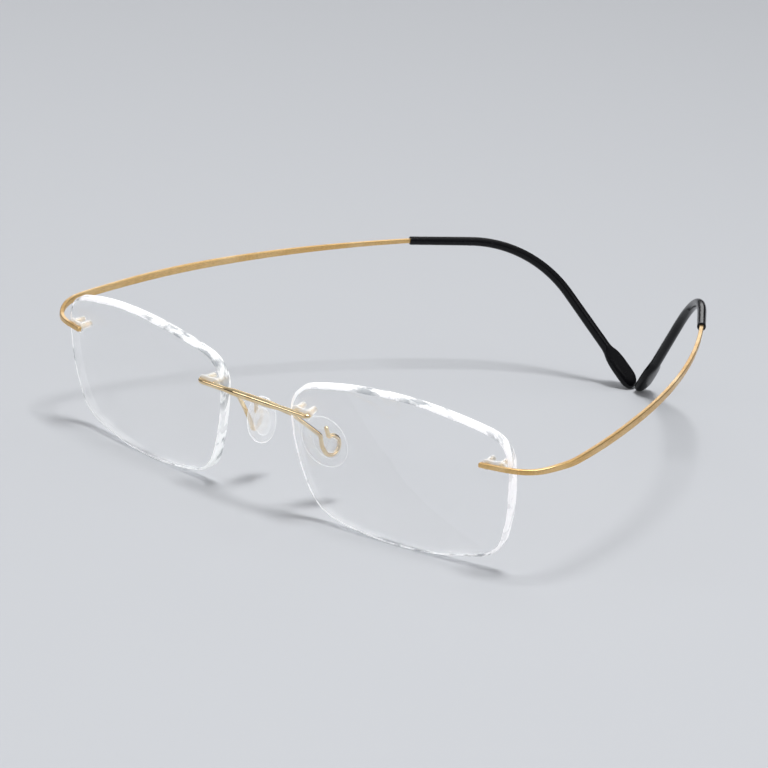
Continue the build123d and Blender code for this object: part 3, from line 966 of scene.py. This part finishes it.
def combined(mesh, tool_mesh, operation):
    """One mesh after an exact union or cut with another."""
    shape = bmesh.new()
    for each in (mesh, tool_mesh):
        shape.clear()
        shape.from_mesh(each)
        bmesh.ops.recalc_face_normals(shape, faces=shape.faces)
        shape.to_mesh(each)
    shape.free()
    tool = bpy.data.objects.new("tool", tool_mesh)
    blank = bpy.data.objects.new("blank", mesh)
    for item in (tool, blank):
        bpy.context.scene.collection.objects.link(item)
    step = blank.modifiers.new("Combine", "BOOLEAN")
    step.object = tool
    step.operation = operation
    step.solver = "EXACT"
    step.material_mode = "TRANSFER"
    evaluated = blank.evaluated_get(bpy.context.evaluated_depsgraph_get())
    result = bpy.data.meshes.new_from_object(evaluated)
    for item in (tool, blank):
        bpy.data.objects.remove(item)
    return result


class EYEGLASSES_OT_lenses(bpy.types.Operator):
    """Make the two clear lenses with their bevelled edges and drilled holes"""
    bl_idname = "eyeglasses.lenses"
    bl_label = "Lenses"

    def execute(self, context):
        for name, side in SIDES:
            add_piece("clear_lens_" + name, lens_mesh(side), "front", ["lens_" + name])
        return {"FINISHED"}


# ---------------------------------------------------------------- bushings and prongs

FLANGE_ROUNDING = 0.16 * MM
BARREL_ROUNDING = 0.12 * MM
BARREL_LEAD = 0.1 * MM          # of the barrels' front ends into the flange
PRONG_PAST = 0.12 * MM          # of the pins' ends past the barrels
PRONG_DOME = 0.3 * MM
PRONG_STEP = 0.3 * MM


def flange_outline(count=64):
    """Two round lobes with a slight waist between them, about the middle of the flange."""
    fixing = sizes("fixing")
    half = fixing.pitch / 2
    radius = fixing.flange_radius
    upper = []
    for i in range(count // 2):
        t = math.pi * i / (count // 2)
        reach = half + radius
        x = reach * math.cos(t)
        if abs(x) > half:
            y = math.sqrt(max(radius * radius - (abs(x) - half) ** 2, 0.0))
        else:
            y = radius * (1 - fixing.flange_waist * math.cos(math.pi * x / fixing.pitch) ** 2)
        upper.append(Vector((x, y)))
    ring = upper + [-point for point in upper]
    found = []
    for i, point in enumerate(ring):
        chord = ring[(i + 1) % len(ring)] - ring[i - 1]
        found.append((point, Vector((chord.y, -chord.x)).normalized()))
    return found


def bushing_mesh(end, side):
    """The clear flange in front of the lens and the two barrels that pass through it."""
    fixing = sizes("fixing")
    lens = sizes("lens")
    axes = lens_axes()
    pair = holes(end)
    middle_u = (pair[0][0] + pair[1][0]) / 2
    v = pair[0][1]

    def on_flange(x, z, depth):
        return axes @ lens_surface(middle_u + x, v + z, depth)

    parts = [plate(flange_outline(), fixing.flange_thickness, FLANGE_ROUNDING, on_flange, side,
                   start=-fixing.flange_thickness)]
    reach = lens.thickness + fixing.barrel_projection + BARREL_LEAD
    for u, height in pair:
        middle = lens_surface(u, height, 0.0)

        def on_barrel(x, z, depth, m=middle):
            return axes @ (m + Vector((x, depth, z)))

        barrel = circle(fixing.barrel_radius)
        parts.append(plate(barrel, reach, BARREL_ROUNDING, on_barrel, side, start=-BARREL_LEAD))
    return mesh_of("bushing", parts, [finish("bushing_plastic")])


class EYEGLASSES_OT_bushings(bpy.types.Operator):
    """Make the four clear bushings in the lenses' holes"""
    bl_idname = "eyeglasses.bushings"
    bl_label = "Bushings"

    def execute(self, context):
        for name, side in SIDES:
            for end, part in (("nose", "bridge_bushing_"), ("outer", "temple_bushing_")):
                mesh = bushing_mesh(end, side)
                add_piece("clear_" + part + name, mesh, "front", [part + name])
        return {"FINISHED"}


def bar_standoff(half_thickness):
    """From the lens's front to the middle of a bar that lies against the flange."""
    fixing = sizes("fixing")
    return fixing.flange_thickness + fixing.seat_clearance + half_thickness


def bar_points(end, half_thickness):
    """Where a bar's middle passes over the two holes, and the way that the prongs run back."""
    axes = lens_axes()
    back = axes.to_3x3() @ Vector((0, 1, 0))
    points = []
    for u, v in holes(end):
        points.append(axes @ lens_surface(u, v, 0.0) - back * bar_standoff(half_thickness))
    return points, back


def prong_runs(end, half_thickness):
    """Two pins from a bar back through the barrels, each with a domed end."""
    fixing = sizes("fixing")
    reach = bar_standoff(half_thickness) + sizes("lens").thickness + fixing.barrel_projection + PRONG_PAST
    points, back = bar_points(end, half_thickness)
    runs = []
    for point in points:
        route = Route([point, point + back * reach])
        runs.append(wire_run(route, lambda _: fixing.prong_radius, PRONG_STEP, cap_end=PRONG_DOME))
    return runs


class EYEGLASSES_OT_prongs(bpy.types.Operator):
    """Make the pins behind the bridge and the temple bars"""
    bl_idname = "eyeglasses.prongs"
    bl_label = "Prongs"

    def execute(self, context):
        thick = {"nose": sizes("bridge").end_radius, "outer": sizes("temple").thickness / 2}
        for name, side in SIDES:
            for end, part in (("nose", "bridge_prongs_"), ("outer", "temple_prongs_")):
                mesh = swept(part, prong_runs(end, thick[end]), side, 20, finish("polished_gold"))
                add_piece("gold_" + part + name, mesh, "front", [part + name])
        return {"FINISHED"}


# ---------------------------------------------------------------- bridge and pad arms

WIRE_STEP = 0.25 * MM
HOOK_BACK = 1.2 * MM            # where the rod's turned end stops, from its corner
HOOK_INWARDS = 0.5 * MM
HOOK_THINS_BEFORE = 0.8 * MM    # of the outer prong, along the rod
HOOK_THINS_PAST = 0.6 * MM


def bridge_middle():
    points, _ = bar_points("nose", sizes("bridge").end_radius)
    return Vector((0, (points[0].y + points[1].y) / 2, (points[0].z + points[1].z) / 2))


def bridge_run():
    """The rod, thicker in its middle, with each end turned back into its outer prong."""
    bridge = sizes("bridge")
    points, back = bar_points("nose", bridge.end_radius)
    middle = bridge_middle()
    outer = max(point.x for point in points)
    corner = Vector((outer + bridge.overhang, middle.y, middle.z))
    turned_end = corner + back * HOOK_BACK - Vector((HOOK_INWARDS, 0, 0))
    corners = [mirrored(turned_end, -1), mirrored(corner, -1), corner, turned_end]
    route = Route(rounded_run(corners, [bridge.hook_radius, bridge.hook_radius]))
    centre = route.length / 2

    def radius_at(distance):
        away = abs(distance - centre)
        thin = eased(bridge.middle_half, bridge.middle_half + bridge.taper, away)
        radius = bridge.middle_radius + (bridge.end_radius - bridge.middle_radius) * thin
        hook = eased(outer - HOOK_THINS_BEFORE, outer + HOOK_THINS_PAST, away)
        return radius + (sizes("fixing").prong_radius - bridge.end_radius) * hook

    return wire_run(route, radius_at, WIRE_STEP)


class EYEGLASSES_OT_bridge(bpy.types.Operator):
    """Make the polished bridge rod"""
    bl_idname = "eyeglasses.bridge"
    bl_label = "Bridge"

    def execute(self, context):
        mesh = swept("bridge", [bridge_run()], 1, 32, finish("polished_gold"))
        add_piece("gold_bridge", mesh, "front", ["bridge"])
        return {"FINISHED"}


ARM_SHOULDER = Vector((7.5, 4.4, -2.2)) * MM        # across, back and up from the bridge's middle
ARM_KNEE = Vector((10.5, 10.8, -7.3)) * MM
PAD_LENGTHWAYS = Vector((-0.205, -0.700, 0.680))
ARM_BENDS = (2.0 * MM, 2.0 * MM, 1.0 * MM)
LEAD_IN = 1.5 * MM
TAIL_BEND = 0.2 * MM
TAIL_DOME = 0.3 * MM
SOLDER_SWELL = 0.5              # share by which the wire is thicker at its root
SOLDER_FULL = 0.4 * MM          # along the wire, where that starts to fade
SOLDER_END = 1.6 * MM


def pad_axes():
    """The boss's middle and the pad's three directions: across, lengthways and the way it faces."""
    joint = joint_named("pad_rock_left")
    faces = Vector(joint["axis"]).normalized()
    across = PAD_LENGTHWAYS.normalized().cross(faces).normalized()
    return Vector(joint["pos_m"]), across, faces.cross(across), faces


def pad_arm_run():
    """The wire from the bridge to its curl round the pad's boss, with a turned-up end."""
    pad = sizes("pad")
    middle, _, _, faces = pad_axes()
    ahead = Vector((0, -1, 0))
    ahead = (ahead - faces * ahead.dot(faces)).normalized()
    down = ahead.cross(faces).normalized()
    if down.z > 0:
        down = -down
    radius = pad.boss_radius + pad.curl_clearance + pad.wire_radius
    curl = arc_about(middle, ahead, down, radius, pad.curl_start, pad.curl_sweep, 60)
    tangent = (curl[1] - curl[0]).normalized()
    bridge = bridge_middle()
    root = bridge + Vector((pad.root_x, 0, 0))
    corners = [root, bridge + ARM_SHOULDER, bridge + ARM_KNEE, curl[0] - tangent * LEAD_IN, curl[0]]
    shaft = rounded_run(corners, ARM_BENDS)
    outwards = (curl[-1] - middle).normalized()
    last_way = (curl[-1] - curl[-2]).normalized()
    tail = [curl[-1] + last_way * TAIL_BEND * math.sin(t) + outwards * TAIL_BEND * (1 - math.cos(t))
            for t in (math.pi / 2 * i / 6 for i in range(1, 7))]
    tail.append(tail[-1] + outwards * (pad.tail - TAIL_BEND))
    route = Route(shaft + curl[1:] + tail)

    def radius_at(distance):
        return pad.wire_radius * (1 + SOLDER_SWELL * (1 - eased(SOLDER_FULL, SOLDER_END, distance)))

    return wire_run(route, radius_at, WIRE_STEP, cap_end=TAIL_DOME)


class EYEGLASSES_OT_pad_arms(bpy.types.Operator):
    """Make the wires that hold the nose pads"""
    bl_idname = "eyeglasses.pad_arms"
    bl_label = "Pad arms"

    def execute(self, context):
        for name, side in SIDES:
            mesh = swept("pad_arm", [pad_arm_run()], side, 20, finish("polished_gold"))
            add_piece("gold_pad_arm_" + name, mesh, "front", ["pad_arm_" + name])
        return {"FINISHED"}


# ---------------------------------------------------------------- nose pads

PAD_RINGS = (0.25, 0.5, 0.72, 0.88)         # shares of the oval
PAD_SWELL = 0.1 * MM            # of the third ring's back, so that a shallow dish is left round the boss
PAD_CROWN = 0.22 * MM
CORE_ROUNDING = 0.2 * MM
BOSS_ROUNDING = 0.08 * MM
BOSS_OVERLAP = 0.2 * MM         # of the boss into the plate
CAP_ROUNDING = 0.14 * MM
CAP_OVERLAP = 0.02 * MM         # of the cap onto the boss


def pad_place(shift_up=0.0):
    middle, across, lengthways, faces = pad_axes()
    up = 1 if lengthways.z > 0 else -1
    return lambda x, y, depth: middle + across * x + lengthways * (y + up * shift_up) + faces * depth


def pad_mesh(side):
    """The soft oval, crowned towards the nose, with a shallow dish round the boss on its back."""
    pad = sizes("pad")
    start = pad.wire_radius + pad.behind_curl
    rim = rounded_rim(pad.thickness, pad.rounding, 7)
    backs = (start, start, start - PAD_SWELL, start)
    bands = [(rim[0][0], scale, depth) for scale, depth in zip(PAD_RINGS, backs)]
    bands += [(inset, 1.0, start + depth) for inset, depth in rim]
    for scale in reversed(PAD_RINGS):
        bands.append((rim[-1][0], scale, start + pad.thickness + PAD_CROWN * (1 - scale * scale)))
    place = pad_place(pad.offset_up)
    shape = banded(oval(pad.half_width, pad.half_length, 96), bands, place, side)
    return mesh_of("nose_pad", [shape], [finish("clear_silicone")])


def core_mesh(side):
    """The hard plate inside the pad, and the boss with its cap."""
    pad = sizes("pad")
    start = pad.wire_radius + pad.behind_curl
    plate_start = start + (pad.thickness - pad.core_thickness) / 2
    place = pad_place()
    boss_end = -pad.wire_radius - pad.curl_clearance
    plastic = [finish("core_plastic")]
    outline = oval(pad.core_half_width, pad.core_half_length)
    hard_plate = plate(outline, pad.core_thickness, CORE_ROUNDING, place, side, plate_start)
    core = mesh_of("core", [hard_plate], plastic)
    boss_length = plate_start + BOSS_OVERLAP - boss_end
    cap_start = boss_end - pad.cap_thickness + CAP_OVERLAP
    discs = (
        (pad.boss_radius, boss_length, BOSS_ROUNDING, boss_end),
        (pad.cap_radius, pad.cap_thickness, CAP_ROUNDING, cap_start),
    )
    for radius, thickness, rounding, depth in discs:
        disc = plate(circle(radius, 40), thickness, rounding, place, side, depth)
        core = combined(core, mesh_of("disc", [disc], plastic), "UNION")
    return core


class EYEGLASSES_OT_nose_pads(bpy.types.Operator):
    """Make the soft nose pads and the hard cores that they sit on"""
    bl_idname = "eyeglasses.nose_pads"
    bl_label = "Nose pads"

    def execute(self, context):
        for name, side in SIDES:
            body = "nose_pad_" + name
            add_piece("soft_pad_" + name, pad_mesh(side), body, [body])
            add_piece("hard_core_" + name, core_mesh(side), body, ["pad_core_" + name])
        return {"FINISHED"}


# ---------------------------------------------------------------- temples and tips

STRIP_STATIONS = (              # share of the way back to the black tip, height above the bar, strip's height
    (-0.02, 0.0, 1.05),
    (0.06, 0.2, 1.10),
    (0.12, 1.45, 1.35),
    (0.22, 2.60, 1.60),
    (0.44, 4.90, 1.75),
    (0.70, 7.00, 1.50),
    (0.90, 8.45, 1.15),
    (1.04, 9.45, 1.00),
)
STRIP_STEP = 1.0 * MM
STRIP_DOME = 0.4 * MM
STRIP_SQUARENESS = 0.36
ROUND_FROM = 0.3 * MM           # inside the black tip, where the strip starts to turn round
ROUND_TO = 2.5 * MM
TIP_STEP = 0.4 * MM
TIP_DOME = 1.2 * MM
LIP_SHARE = 0.55                # of the sleeve's size, left at its open end
EAR_CORNER = Vector((-17.8, 25.4, 0.0)) * MM        # from the sleeve's start, before rounding
PADDLE_BACK = 40.4 * MM                             # of the paddle's round end behind the sleeve's start
PADDLE_ACROSS = 2.5 * MM                            # of that end from the plane of symmetry
PADDLE_ROUNDING = 0.9 * MM
PADDLE_FLATTENING = 0.35        # share of the paddle's length over which it flattens
PADDLE_SQUARENESS = 0.82
PADDLE_LEAF = (                 # share of the paddle's length, share of its widening
    (0.0, 0.0),
    (0.08, 0.20),
    (0.20, 0.66),
    (0.36, 0.92),
    (0.56, 1.0),
    (0.80, 0.97),
    (1.0, 0.85),
)


def flex_place():
    return Vector(joint_named("temple_flex_left")["pos_m"])


def bow_middle():
    temple = sizes("temple")
    flex = flex_place()
    return Vector((flex.x - temple.bow_radius * math.cos(temple.flex_angle),
                   flex.y - temple.bow_radius * math.sin(temple.flex_angle), 0))


def on_bow(turn):
    return bow_middle() + Vector((math.cos(turn), math.sin(turn), 0)) * sizes("temple").bow_radius


def strip_heights():
    """Functions for how high the strip's middle is and how tall the strip is, against distance back."""
    points, _ = bar_points("outer", sizes("temple").thickness / 2)
    bar_height = (points[0].z + points[1].z) / 2
    front = (lens_axes() @ Vector((0, 0, 0))).y
    reach = on_bow(sizes("temple").bow_end).y - front

    def middle(y):
        return bar_height + smooth_table([(s[0], s[1]) for s in STRIP_STATIONS], (y - front) / reach) * MM

    def height(y):
        return smooth_table([(s[0], s[2]) for s in STRIP_STATIONS], (y - front) / reach) * MM

    return middle, height


def strip_points():
    """The strip's line seen from above: the bar, the corner and the long bow."""
    temple = sizes("temple")
    outer, inner = bar_points("outer", temple.thickness / 2)[0]
    along = Vector((outer.x - inner.x, outer.y - inner.y, 0)).normalized()
    aside = Vector((-along.y, along.x, 0))
    tip = Vector((inner.x, inner.y, 0)) - along * temple.tip_overhang
    base = tip + aside * temple.corner_radius - bow_middle()
    forward = base.dot(along)
    rest = base.dot(base) - (temple.bow_radius - temple.corner_radius) ** 2
    run = -forward + math.sqrt(forward ** 2 - rest)
    corner = tip + along * run + aside * temple.corner_radius
    bow_way = (corner - bow_middle()).normalized()
    bow_start = math.atan2(bow_way.y, bow_way.x)
    corner_sweep = bow_start - math.atan2(-aside.y, -aside.x)
    points = [tip.lerp(tip + along * run, i / 12) for i in range(12)]
    points += arc_about(corner, -aside, along, temple.corner_radius, 0, corner_sweep, 40)
    bow_sweep = temple.bow_end - bow_start
    x_way, y_way = Vector((1, 0, 0)), Vector((0, 1, 0))
    points += arc_about(bow_middle(), x_way, y_way, temple.bow_radius, bow_start, bow_sweep, 120)[1:]
    middle, _ = strip_heights()
    return [Vector((p.x, p.y, middle(p.y))) for p in points]


def paddle_lie(height):
    """The middle of the paddle's round end at a height, its long direction and its thin direction."""
    start = strip_points()[-1]
    corner = start + EAR_CORNER
    middle = Vector((PADDLE_ACROSS, start.y + PADDLE_BACK, height))
    along = (middle - corner).normalized()
    thin = along.cross(UP).normalized()
    thin.rotate(Matrix.Rotation(sizes("tip").twist, 3, along))
    return middle, along, thin


def paddle_place():
    """The paddle's lie when its rounded disc rests on the table."""
    tip = sizes("tip")
    _, _, thin = paddle_lie(tip.half_width)
    flat = (tip.half_width - PADDLE_ROUNDING) * math.sqrt(1 - thin.z ** 2)
    reach = flat + (tip.thickness / 2 - PADDLE_ROUNDING) * abs(thin.z) + PADDLE_ROUNDING
    return paddle_lie(reach)


def tip_points(past_middle):
    """The middle of the black tip, to a distance past the middle of the paddle's round end."""
    temple = sizes("temple")
    tip = sizes("tip")
    start = strip_points()[-1]
    middle, along, _ = paddle_place()
    turn = temple.bow_end + tip.first_turn
    knuckle = start + Vector((-math.sin(turn), math.cos(turn), 0)) * tip.first_run
    corners = [start, knuckle, start + EAR_CORNER, middle + along * past_middle]
    return rounded_run(corners, [tip.easy_radius, tip.ear_radius], 0.6 * MM)


def strip_run():
    """Stations of the flat strip, which turns into the round wire inside the black tip."""
    temple = sizes("temple")
    _, height = strip_heights()
    strip = strip_points()
    route = Route(strip + tip_points(-sizes("tip").wire_end_gap)[1:])
    strip_length = Route(strip).length
    stations = []
    for distance in spaced(route.length, STRIP_STEP, STRIP_DOME, STRIP_DOME):
        way = route.way(distance)
        across = (UP - way * way.z).normalized()
        point = route.at(distance)
        wire = eased(strip_length + ROUND_FROM, strip_length + ROUND_TO, distance)
        ends = end_share(distance, route.length, STRIP_DOME, STRIP_DOME)
        half_height = height(point.y) / 2 * (1 - wire) + temple.wire_radius * wire
        half_thickness = temple.thickness / 2 * (1 - wire) + temple.wire_radius * wire
        square = STRIP_SQUARENESS + (1 - STRIP_SQUARENESS) * wire
        stations.append(Station(
            point, across, way.cross(across), half_height * ends, half_thickness * ends, square))
    return stations


def tip_run():
    """Stations of the black tip, worked out back from the paddle's end so that its flat lies right."""
    tip = sizes("tip")
    _, along, thin = paddle_place()
    route = Route(tip_points(tip.half_width))
    total = route.length
    across = along.cross(thin)
    paddle_start = total - tip.paddle_length
    stations = []
    for distance in reversed(spaced(total, TIP_STEP, tip.lip, TIP_DOME, 8)):
        way = route.way(distance)
        across = (across - way * across.dot(way)).normalized()
        along_sleeve = min(distance / paddle_start, 1.0)
        half_width = tip.start_radius + (tip.end_radius - tip.start_radius) * along_sleeve
        half_thickness = half_width
        square = 1.0
        if distance > paddle_start:
            part = (distance - paddle_start) / tip.paddle_length
            leaf = smooth_table(PADDLE_LEAF, part)
            flat = eased(0.0, PADDLE_FLATTENING, part)
            half_width += (tip.half_width - tip.end_radius) * leaf
            half_thickness += (tip.thickness / 2 - tip.end_radius) * flat
            square = 1.0 - (1 - PADDLE_SQUARENESS) * flat
            left = max((1 - part) * tip.paddle_length, 0.0)
            round_end = math.sqrt(max(1 - (1 - min(left / tip.half_width, 1.0)) ** 2, 0.0008))
            half_width *= round_end
            half_thickness *= math.sqrt(round_end)
        size = LIP_SHARE + (1 - LIP_SHARE) * end_share(distance, total, tip.lip, 0.0)
        stations.append(Station(
            route.at(distance), across, way.cross(across), half_width * size, half_thickness * size, square))
    return stations


class EYEGLASSES_OT_temples(bpy.types.Operator):
    """Make the springy gold strips, each in one piece from its lens to inside its black tip"""
    bl_idname = "eyeglasses.temples"
    bl_label = "Temples"

    def execute(self, context):
        temple = sizes("temple")
        flex = flex_place()
        way = Vector((-math.sin(temple.flex_angle), math.cos(temple.flex_angle), 0)) * temple.flex_reach
        run = strip_run()
        for name, side in SIDES:
            mesh = swept("strip", [run], side, 36, finish("satin_gold"))
            ends = ("front", "temple_" + name, mirrored(flex - way, side), mirrored(flex + way, side))
            replaced = ["temple_bar_" + name, "temple_" + name]
            add_piece("gold_temple_" + name, mesh, ends, replaced)
        return {"FINISHED"}


class EYEGLASSES_OT_tips(bpy.types.Operator):
    """Make the glossy black tips, from their open ends to their flat paddles"""
    bl_idname = "eyeglasses.tips"
    bl_label = "Black tips"

    def execute(self, context):
        run = tip_run()
        for name, side in SIDES:
            mesh = swept("tip", [run], side, 32, finish("black_plastic"))
            add_piece("black_tip_" + name, mesh, "temple_" + name, ["temple_tip_" + name])
        return {"FINISHED"}


# ---------------------------------------------------------------- stage

CAMERA_PLACE = Vector((449.0, -618.2, 245.6)) * MM
CAMERA_AZIMUTH = math.radians(37.29)
CAMERA_ELEVATION = math.radians(16.96)
CAMERA_ROLL = math.radians(5.63)
CAMERA_LENS = 165.6
CAMERA_SENSOR = 36.0
FLOOR_REACH = 5.0
CARD_MIDDLE = Vector((-0.24, -0.32, 0.0))
CARD_WAY = Vector((0.8, -0.6, 0.0))         # along its foot
CARD_HALF_WIDTH = 0.12
CARD_FOOT = 0.008
CARD_TOP = 0.13
LIGHTS = (                      # name, place, aimed at, width, height, watts
    ("overhead", (0.22, -0.16, 1.30), (0.0, 0.0, 0.0), 0.32, 0.32, 11.8),
    ("broad_top", (-0.30, 0.50, 1.60), (0.0, 0.0, 0.0), 1.60, 1.20, 5.0),
    ("front", (-0.50, -1.40, 0.75), (0.0, 0.0, 0.02), 1.30, 0.40, 4.0),
    ("back", (-1.25, 1.45, 0.75), (0.0, 0.0, 0.02), 1.40, 0.50, 4.5),
    ("side", (1.30, 0.40, 0.42), (0.0, 0.0, 0.02), 0.80, 0.40, 2.5),
)


def aimed(direction):
    return direction.to_track_quat("-Z", "Y")


class EYEGLASSES_OT_stage(bpy.types.Operator):
    """Make the pale floor, the soft studio lights and the camera"""
    bl_idname = "eyeglasses.stage"
    bl_label = "Stage"

    def execute(self, context):
        scene = context.scene
        mesh = bpy.data.meshes.new("floor")
        corners = [(x * FLOOR_REACH, y * FLOOR_REACH, 0) for x, y in ((-1, -1), (1, -1), (1, 1), (-1, 1))]
        mesh.from_pydata(corners, [], [(0, 1, 2, 3)])
        mesh.materials.append(finish("floor_paper"))
        floor = bpy.data.objects.new("floor", mesh)
        scene.collection.objects.link(floor)
        self.dark_card(scene)
        for name, place, target, width, height, watts in LIGHTS:
            data = bpy.data.lights.new(name, "AREA")
            data.shape = "RECTANGLE"
            data.size = width
            data.size_y = height
            data.energy = watts
            light = bpy.data.objects.new(name, data)
            light.location = place
            light.rotation_mode = "QUATERNION"
            light.rotation_quaternion = aimed(Vector(target) - Vector(place))
            scene.collection.objects.link(light)
        self.sky(scene)
        self.camera(scene)
        scene.view_settings.view_transform = "Standard"
        return {"FINISHED"}

    @staticmethod
    def dark_card(scene):
        """A dark card in front and to one side, for the polished metal to reflect."""
        material, tree = new_finish("dark_card")
        mottle = noise(tree, EVENLY, 12)
        shader = tree.add("ShaderNodeBsdfPrincipled", None, {
            "Base Color": tree.mix(mottle, (0.01, 0.01, 0.01), (0.02, 0.02, 0.02)),
            "Roughness": 0.8 + mottle * 0.1,
        })
        finish_with(tree, shader)
        aside = CARD_WAY * CARD_HALF_WIDTH
        corners = [CARD_MIDDLE + aside * end + UP * height
                   for end, height in ((-1, CARD_FOOT), (1, CARD_FOOT), (1, CARD_TOP), (-1, CARD_TOP))]
        mesh = bpy.data.meshes.new("dark_card")
        mesh.from_pydata(corners, [], [(0, 1, 2, 3)])
        mesh.materials.append(material)
        card = bpy.data.objects.new("dark_card", mesh)
        scene.collection.objects.link(card)

    @staticmethod
    def sky(scene):
        """A soft surround, brighter overhead than near the horizon."""
        world = bpy.data.worlds.new("surround")
        world.use_nodes = True
        world.node_tree.nodes.clear()
        tree = Tree(world.node_tree)
        ways = tree.add("ShaderNodeTexCoord", output="Generated")
        split = tree.nodes.nodes.new("ShaderNodeSeparateXYZ")
        world.node_tree.links.new(ways.socket, split.inputs[0])
        behind = Value(tree, split.outputs[1])
        height = Value(tree, split.outputs[2])
        level = ramp(tree, height - behind * 0.12, (0.12, 0.0), (0.30, 0.50), (0.75, 0.95))
        background = tree.add("ShaderNodeBackground", None, {
            "Color": tree.mix(level, (0.05, 0.05, 0.06), (0.97, 0.98, 1.0)), "Strength": 0.43})
        tree.add("ShaderNodeOutputWorld", None, {"Surface": background})
        scene.world = world

    @staticmethod
    def camera(scene):
        back = Vector((
            math.sin(CAMERA_AZIMUTH) * math.cos(CAMERA_ELEVATION),
            -math.cos(CAMERA_AZIMUTH) * math.cos(CAMERA_ELEVATION),
            math.sin(CAMERA_ELEVATION)))
        level_right = (-back).cross(UP).normalized()
        level_up = level_right.cross(-back)
        right = level_right * math.cos(CAMERA_ROLL) + level_up * math.sin(CAMERA_ROLL)
        up = level_up * math.cos(CAMERA_ROLL) - level_right * math.sin(CAMERA_ROLL)
        axes = Matrix((right, up, back)).transposed().to_4x4()
        data = bpy.data.cameras.new("camera")
        data.lens = CAMERA_LENS
        data.sensor_width = CAMERA_SENSOR
        data.clip_start = 0.05
        data.clip_end = 20.0
        camera = bpy.data.objects.new("camera", data)
        camera.matrix_world = Matrix.Translation(CAMERA_PLACE) @ axes
        scene.collection.objects.link(camera)
        scene.camera = camera


# ---------------------------------------------------------------- panel and registration

STEPS = (
    EYEGLASSES_OT_lenses, EYEGLASSES_OT_bushings, EYEGLASSES_OT_bridge, EYEGLASSES_OT_prongs,
    EYEGLASSES_OT_pad_arms, EYEGLASSES_OT_nose_pads, EYEGLASSES_OT_temples, EYEGLASSES_OT_tips,
    EYEGLASSES_OT_stage,
)


class EYEGLASSES_PT_panel(bpy.types.Panel):
    """The steps that build the eyeglasses, and their sizes and colours"""
    bl_idname = "EYEGLASSES_PT_panel"
    bl_label = "Rimless eyeglasses"
    bl_space_type = "VIEW_3D"
    bl_region_type = "UI"
    bl_category = "Eyeglasses"

    def draw(self, context):
        layout = self.layout
        for step in STEPS:
            layout.operator(step.bl_idname)
        for name, group in GROUPS.items():
            box = layout.box()
            box.label(text=name.capitalize())
            for key in group.__annotations__:
                box.prop(sizes(name), key)


def register():
    for group in (*GROUPS.values(), *STEPS, EYEGLASSES_PT_panel):
        bpy.utils.register_class(group)
    for name, group in GROUPS.items():
        setattr(bpy.types.Scene, "eyeglasses_" + name, bpy.props.PointerProperty(type=group))


def unregister():
    for name in GROUPS:
        delattr(bpy.types.Scene, "eyeglasses_" + name)
    for group in (EYEGLASSES_PT_panel, *reversed(STEPS), *reversed(GROUPS.values())):
        bpy.utils.unregister_class(group)


def main():
    register()
    for step in STEPS:
        family, action = step.bl_idname.split(".")
        getattr(getattr(bpy.ops, family), action)()


if __name__ == "__main__":
    main()
